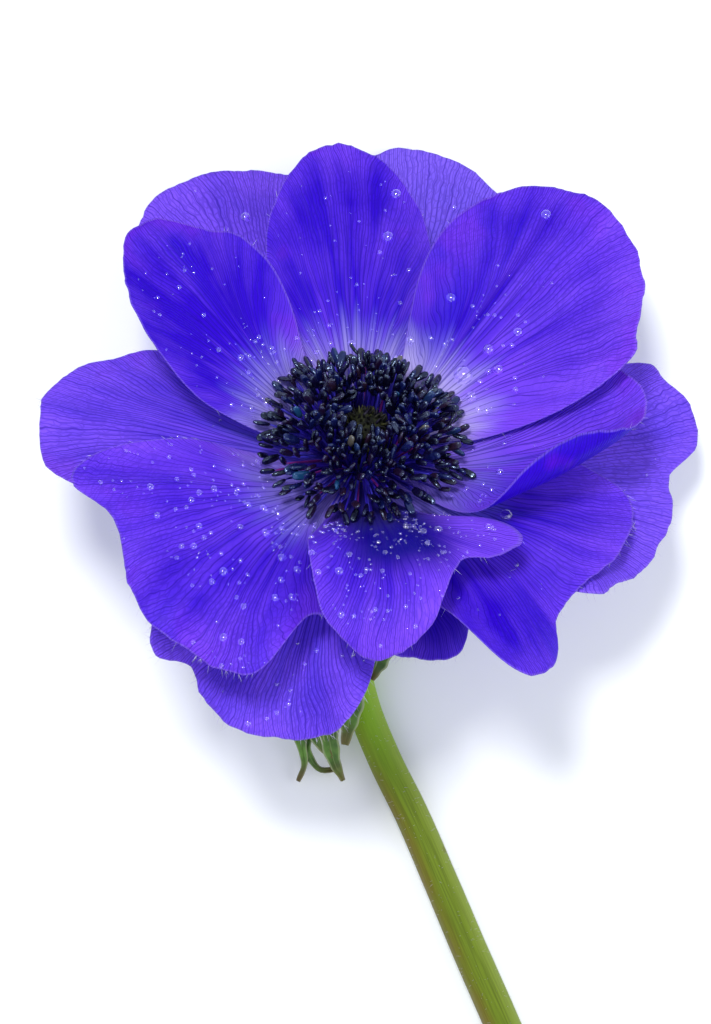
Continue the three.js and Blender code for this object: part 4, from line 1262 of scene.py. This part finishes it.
# Places of the larger drops as the camera sees them, in mm from the heart at its height, with their radius
DROPS = (
    (14.4, 11.5, 1.4), (12.6, 22.3, 0.8), (25.9, 33.9, 0.85), (22.0, 17.5, 0.78), (17.9, 15.1, 0.85),
    (19.3, 12.3, 0.78), (15.5, 8.5, 0.8), (13.6, 8.0, 0.7), (21.7, 9.5, 0.5), (21.6, 11.1, 0.42),
    (16.7, 10.6, 0.42), (17.9, 12.0, 0.5), (17.6, 6.6, 0.45), (22.0, 19.9, 0.36), (23.0, 19.0, 0.3),
    (19.6, 19.6, 0.3), (21.2, 15.7, 0.42), (19.9, 15.7, 0.36), (7.0, 16.4, 0.7), (9.8, 16.7, 0.45),
    (5.5, 21.6, 0.42), (6.7, 26.2, 0.4), (3.8, 30.8, 0.94), (4.9, 36.8, 0.84), (-16.2, 33.6, 0.8),
    (-1.3, 16.0, 0.55), (4.8, 14.0, 0.5), (-4.3, 16.0, 0.36), (-6.2, 14.8, 0.42), (-9.1, 16.7, 0.42),
    (-11.5, 10.6, 0.85), (-14.4, 16.8, 0.45), (-12.6, 15.3, 0.46), (-11.9, 13.3, 0.4), (-15.8, 11.9, 0.5),
    (-16.9, 13.9, 0.62), (-20.0, 15.0, 0.5), (-15.4, 6.9, 0.46), (-13.3, 7.6, 0.85), (-25.5, 23.8, 0.42),
    (-22.1, 19.9, 0.45), (-29.5, -4.2, 0.6), (-25.8, -3.1, 0.42), (-23.8, -6.0, 0.55),
    (-22.7, -5.0, 0.55), (-20.6, -4.5, 0.62), (-28.6, -8.1, 0.55), (-25.1, -12.5, 0.5),
    (-23.4, -12.5, 0.6), (-22.7, -9.7, 0.6), (-22.0, -11.3, 0.46), (-19.3, -16.0, 0.7),
    (-20.9, -17.4, 0.55), (-16.9, -9.8, 0.55), (-15.8, -6.7, 0.55), (-13.6, -7.3, 0.75),
    (-13.4, -10.6, 0.7), (-11.1, -10.1, 0.55), (-11.1, -14.1, 0.7), (-11.3, -12.6, 0.46),
    (-6.9, -13.4, 0.55), (-11.2, -17.2, 0.55), (-12.0, -19.7, 0.62), (-9.7, -19.6, 0.62),
    (-9.0, -15.8, 0.62), (-16.4, -20.9, 0.55), (-17.4, -19.6, 0.42), (-19.2, -25.2, 0.68),
    (-16.7, -25.8, 0.55), (-23.5, -25.8, 0.42), (-3.1, -16.0, 0.68), (-2.8, -22.0, 0.55),
    (-6.0, -16.1, 0.5), (8.7, -10.5, 0.68), (10.8, -10.2, 0.66), (6.3, -9.8, 0.42), (20.3, -8.2, 0.95),
    (17.9, -9.9, 0.68), (19.5, -2.1, 0.62), (17.2, -3.8, 0.42), (14.8, -4.5, 0.45), (16.7, -6.2, 0.45),
    (18.3, -4.6, 0.4), (-6.2, -27.0, 0.42), (-7.8, -28.8, 0.38), (-9.9, -32.5, 0.42),
    (-10.1, -34.4, 0.42), (-11.8, -35.6, 0.5), (-13.2, -36.4, 0.42), (-15.8, -37.1, 0.5),
)
# Number of scattered drops on a petal, and the shares of its length between which they lie
SPRAY = {
    "petal_top": (70, 0.3, 0.95), "petal_upper_left": (85, 0.3, 0.95),
    "petal_upper_right": (60, 0.25, 0.7), "petal_right_folded": (36, 0.3, 0.8),
    "petal_bottom": (260, 0.35, 1.0), "petal_lower_left": (230, 0.3, 1.0),
    "back_petal_top_left": (30, 0.5, 0.95), "back_petal_top_right": (8, 0.7, 0.95),
    "back_petal_right": (16, 0.4, 0.9), "back_petal_lower_right": (16, 0.5, 0.9),
    "back_petal_lower_left": (40, 0.55, 0.95), "back_petal_left": (24, 0.4, 0.8),
}

SEATED = 0.32  # how far the middle of a large drop stands above the petal, in radii
SPRAY_SEATED = 0.3
FLATTENED = 0.78  # height of a large drop, where its width is 1
SPRAY_FLATTENED = 0.8
FINEST, COARSEST = 0.12, 0.42  # radius of a scattered drop, in mm


def water():
    """Clear water with a bright, slightly soft shine."""
    made, tree, shader = plain_finish("water", (0.84, 0.82, 0.94, 1), 0.0, 1.0)
    shader.inputs["Transmission Weight"].default_value = 1
    shader.inputs["IOR"].default_value = 1.33
    shader.inputs["Coat Weight"].default_value = 1
    shader.inputs["Coat Roughness"].default_value = 0.1
    shader.inputs["Coat IOR"].default_value = 1.9
    # Light falls through the drops on to the petal, so they cast no shadow
    unseen = wire(tree, "ShaderNodeBsdfTransparent")
    shadow = wire(tree, "ShaderNodeLightPath").outputs["Is Shadow Ray"]
    both = wire(tree, "ShaderNodeMixShader", shadow, shader.outputs[0], unseen.outputs[0])
    tree.links.new(both.outputs[0], tree.nodes["Material Output"].inputs["Surface"])
    return made


def bead(sides):
    """A ball of water 1 across, which its length then flattens."""
    rings = sides // 2
    profile = [(-cos(pi * k / rings) * 0.5, sin(pi * k / rings) * 0.5) for k in range(rings + 1)]
    return turned_shape("bead", profile, sides)


def large_drops(clear, draw):
    """The larger drops, each where the line from the camera first meets a petal."""
    skins = []
    for blade in blades.values():
        points = [point.co for point in blade.data.vertices]
        skins.append(BVHTree.FromPolygons(points, [face.vertices[:] for face in blade.data.polygons]))
    eye = camera.location
    spots = []
    for x, y, radius in DROPS:
        way = (Vector(HEART + [x, y, 0]) * MM - eye).normalized()
        hits = [hit for hit in (skin.ray_cast(eye, way) for skin in skins) if hit[0] is not None]
        place, normal, _, _ = min(hits, key=lambda hit: hit[3])
        place = np.array(place) / MM + np.array(normal) * radius * SEATED
        spots.append((place, np.array(normal), draw.uniform(0, 6), 2 * radius, 2 * radius))
    hand_over(place_copies("water_drops", bead(24), spots, clear, 1, FLATTENED, 0.0, 1))


def spray(clear, draw):
    """Scattered fine drops, which gather in patches on the faces of the petals."""
    spots = []
    for seed, (name, (count, start, end)) in enumerate(SPRAY.items()):
        surface = surfaces[name]
        rows, columns = surface["thick"].shape
        placed = 0
        while placed < count:
            i = int((rows - 1) * draw.uniform(start, end))
            j = int((columns - 1) * draw.uniform(0.06, 0.94))
            if noise.noise(Vector((i / 9, j / 14, 3.7 * seed))) + draw.uniform(-0.35, 0.35) < -0.05:
                continue
            placed += 1
            normal = surface["normals"][i, j]
            radius = min(FINEST + draw.expovariate(9), COARSEST)
            skin = surface["middle"][i, j] + normal * (surface["thick"][i, j] / 2 + radius * SPRAY_SEATED)
            spots.append((skin, normal, draw.uniform(0, 6), 2 * radius, 2 * radius))
    hand_over(place_copies("water_spray", bead(12), spots, clear, 1, SPRAY_FLATTENED, 0.0, 2))


clear = water()
draw = random.Random(5)
large_drops(clear, draw)
spray(clear, draw)
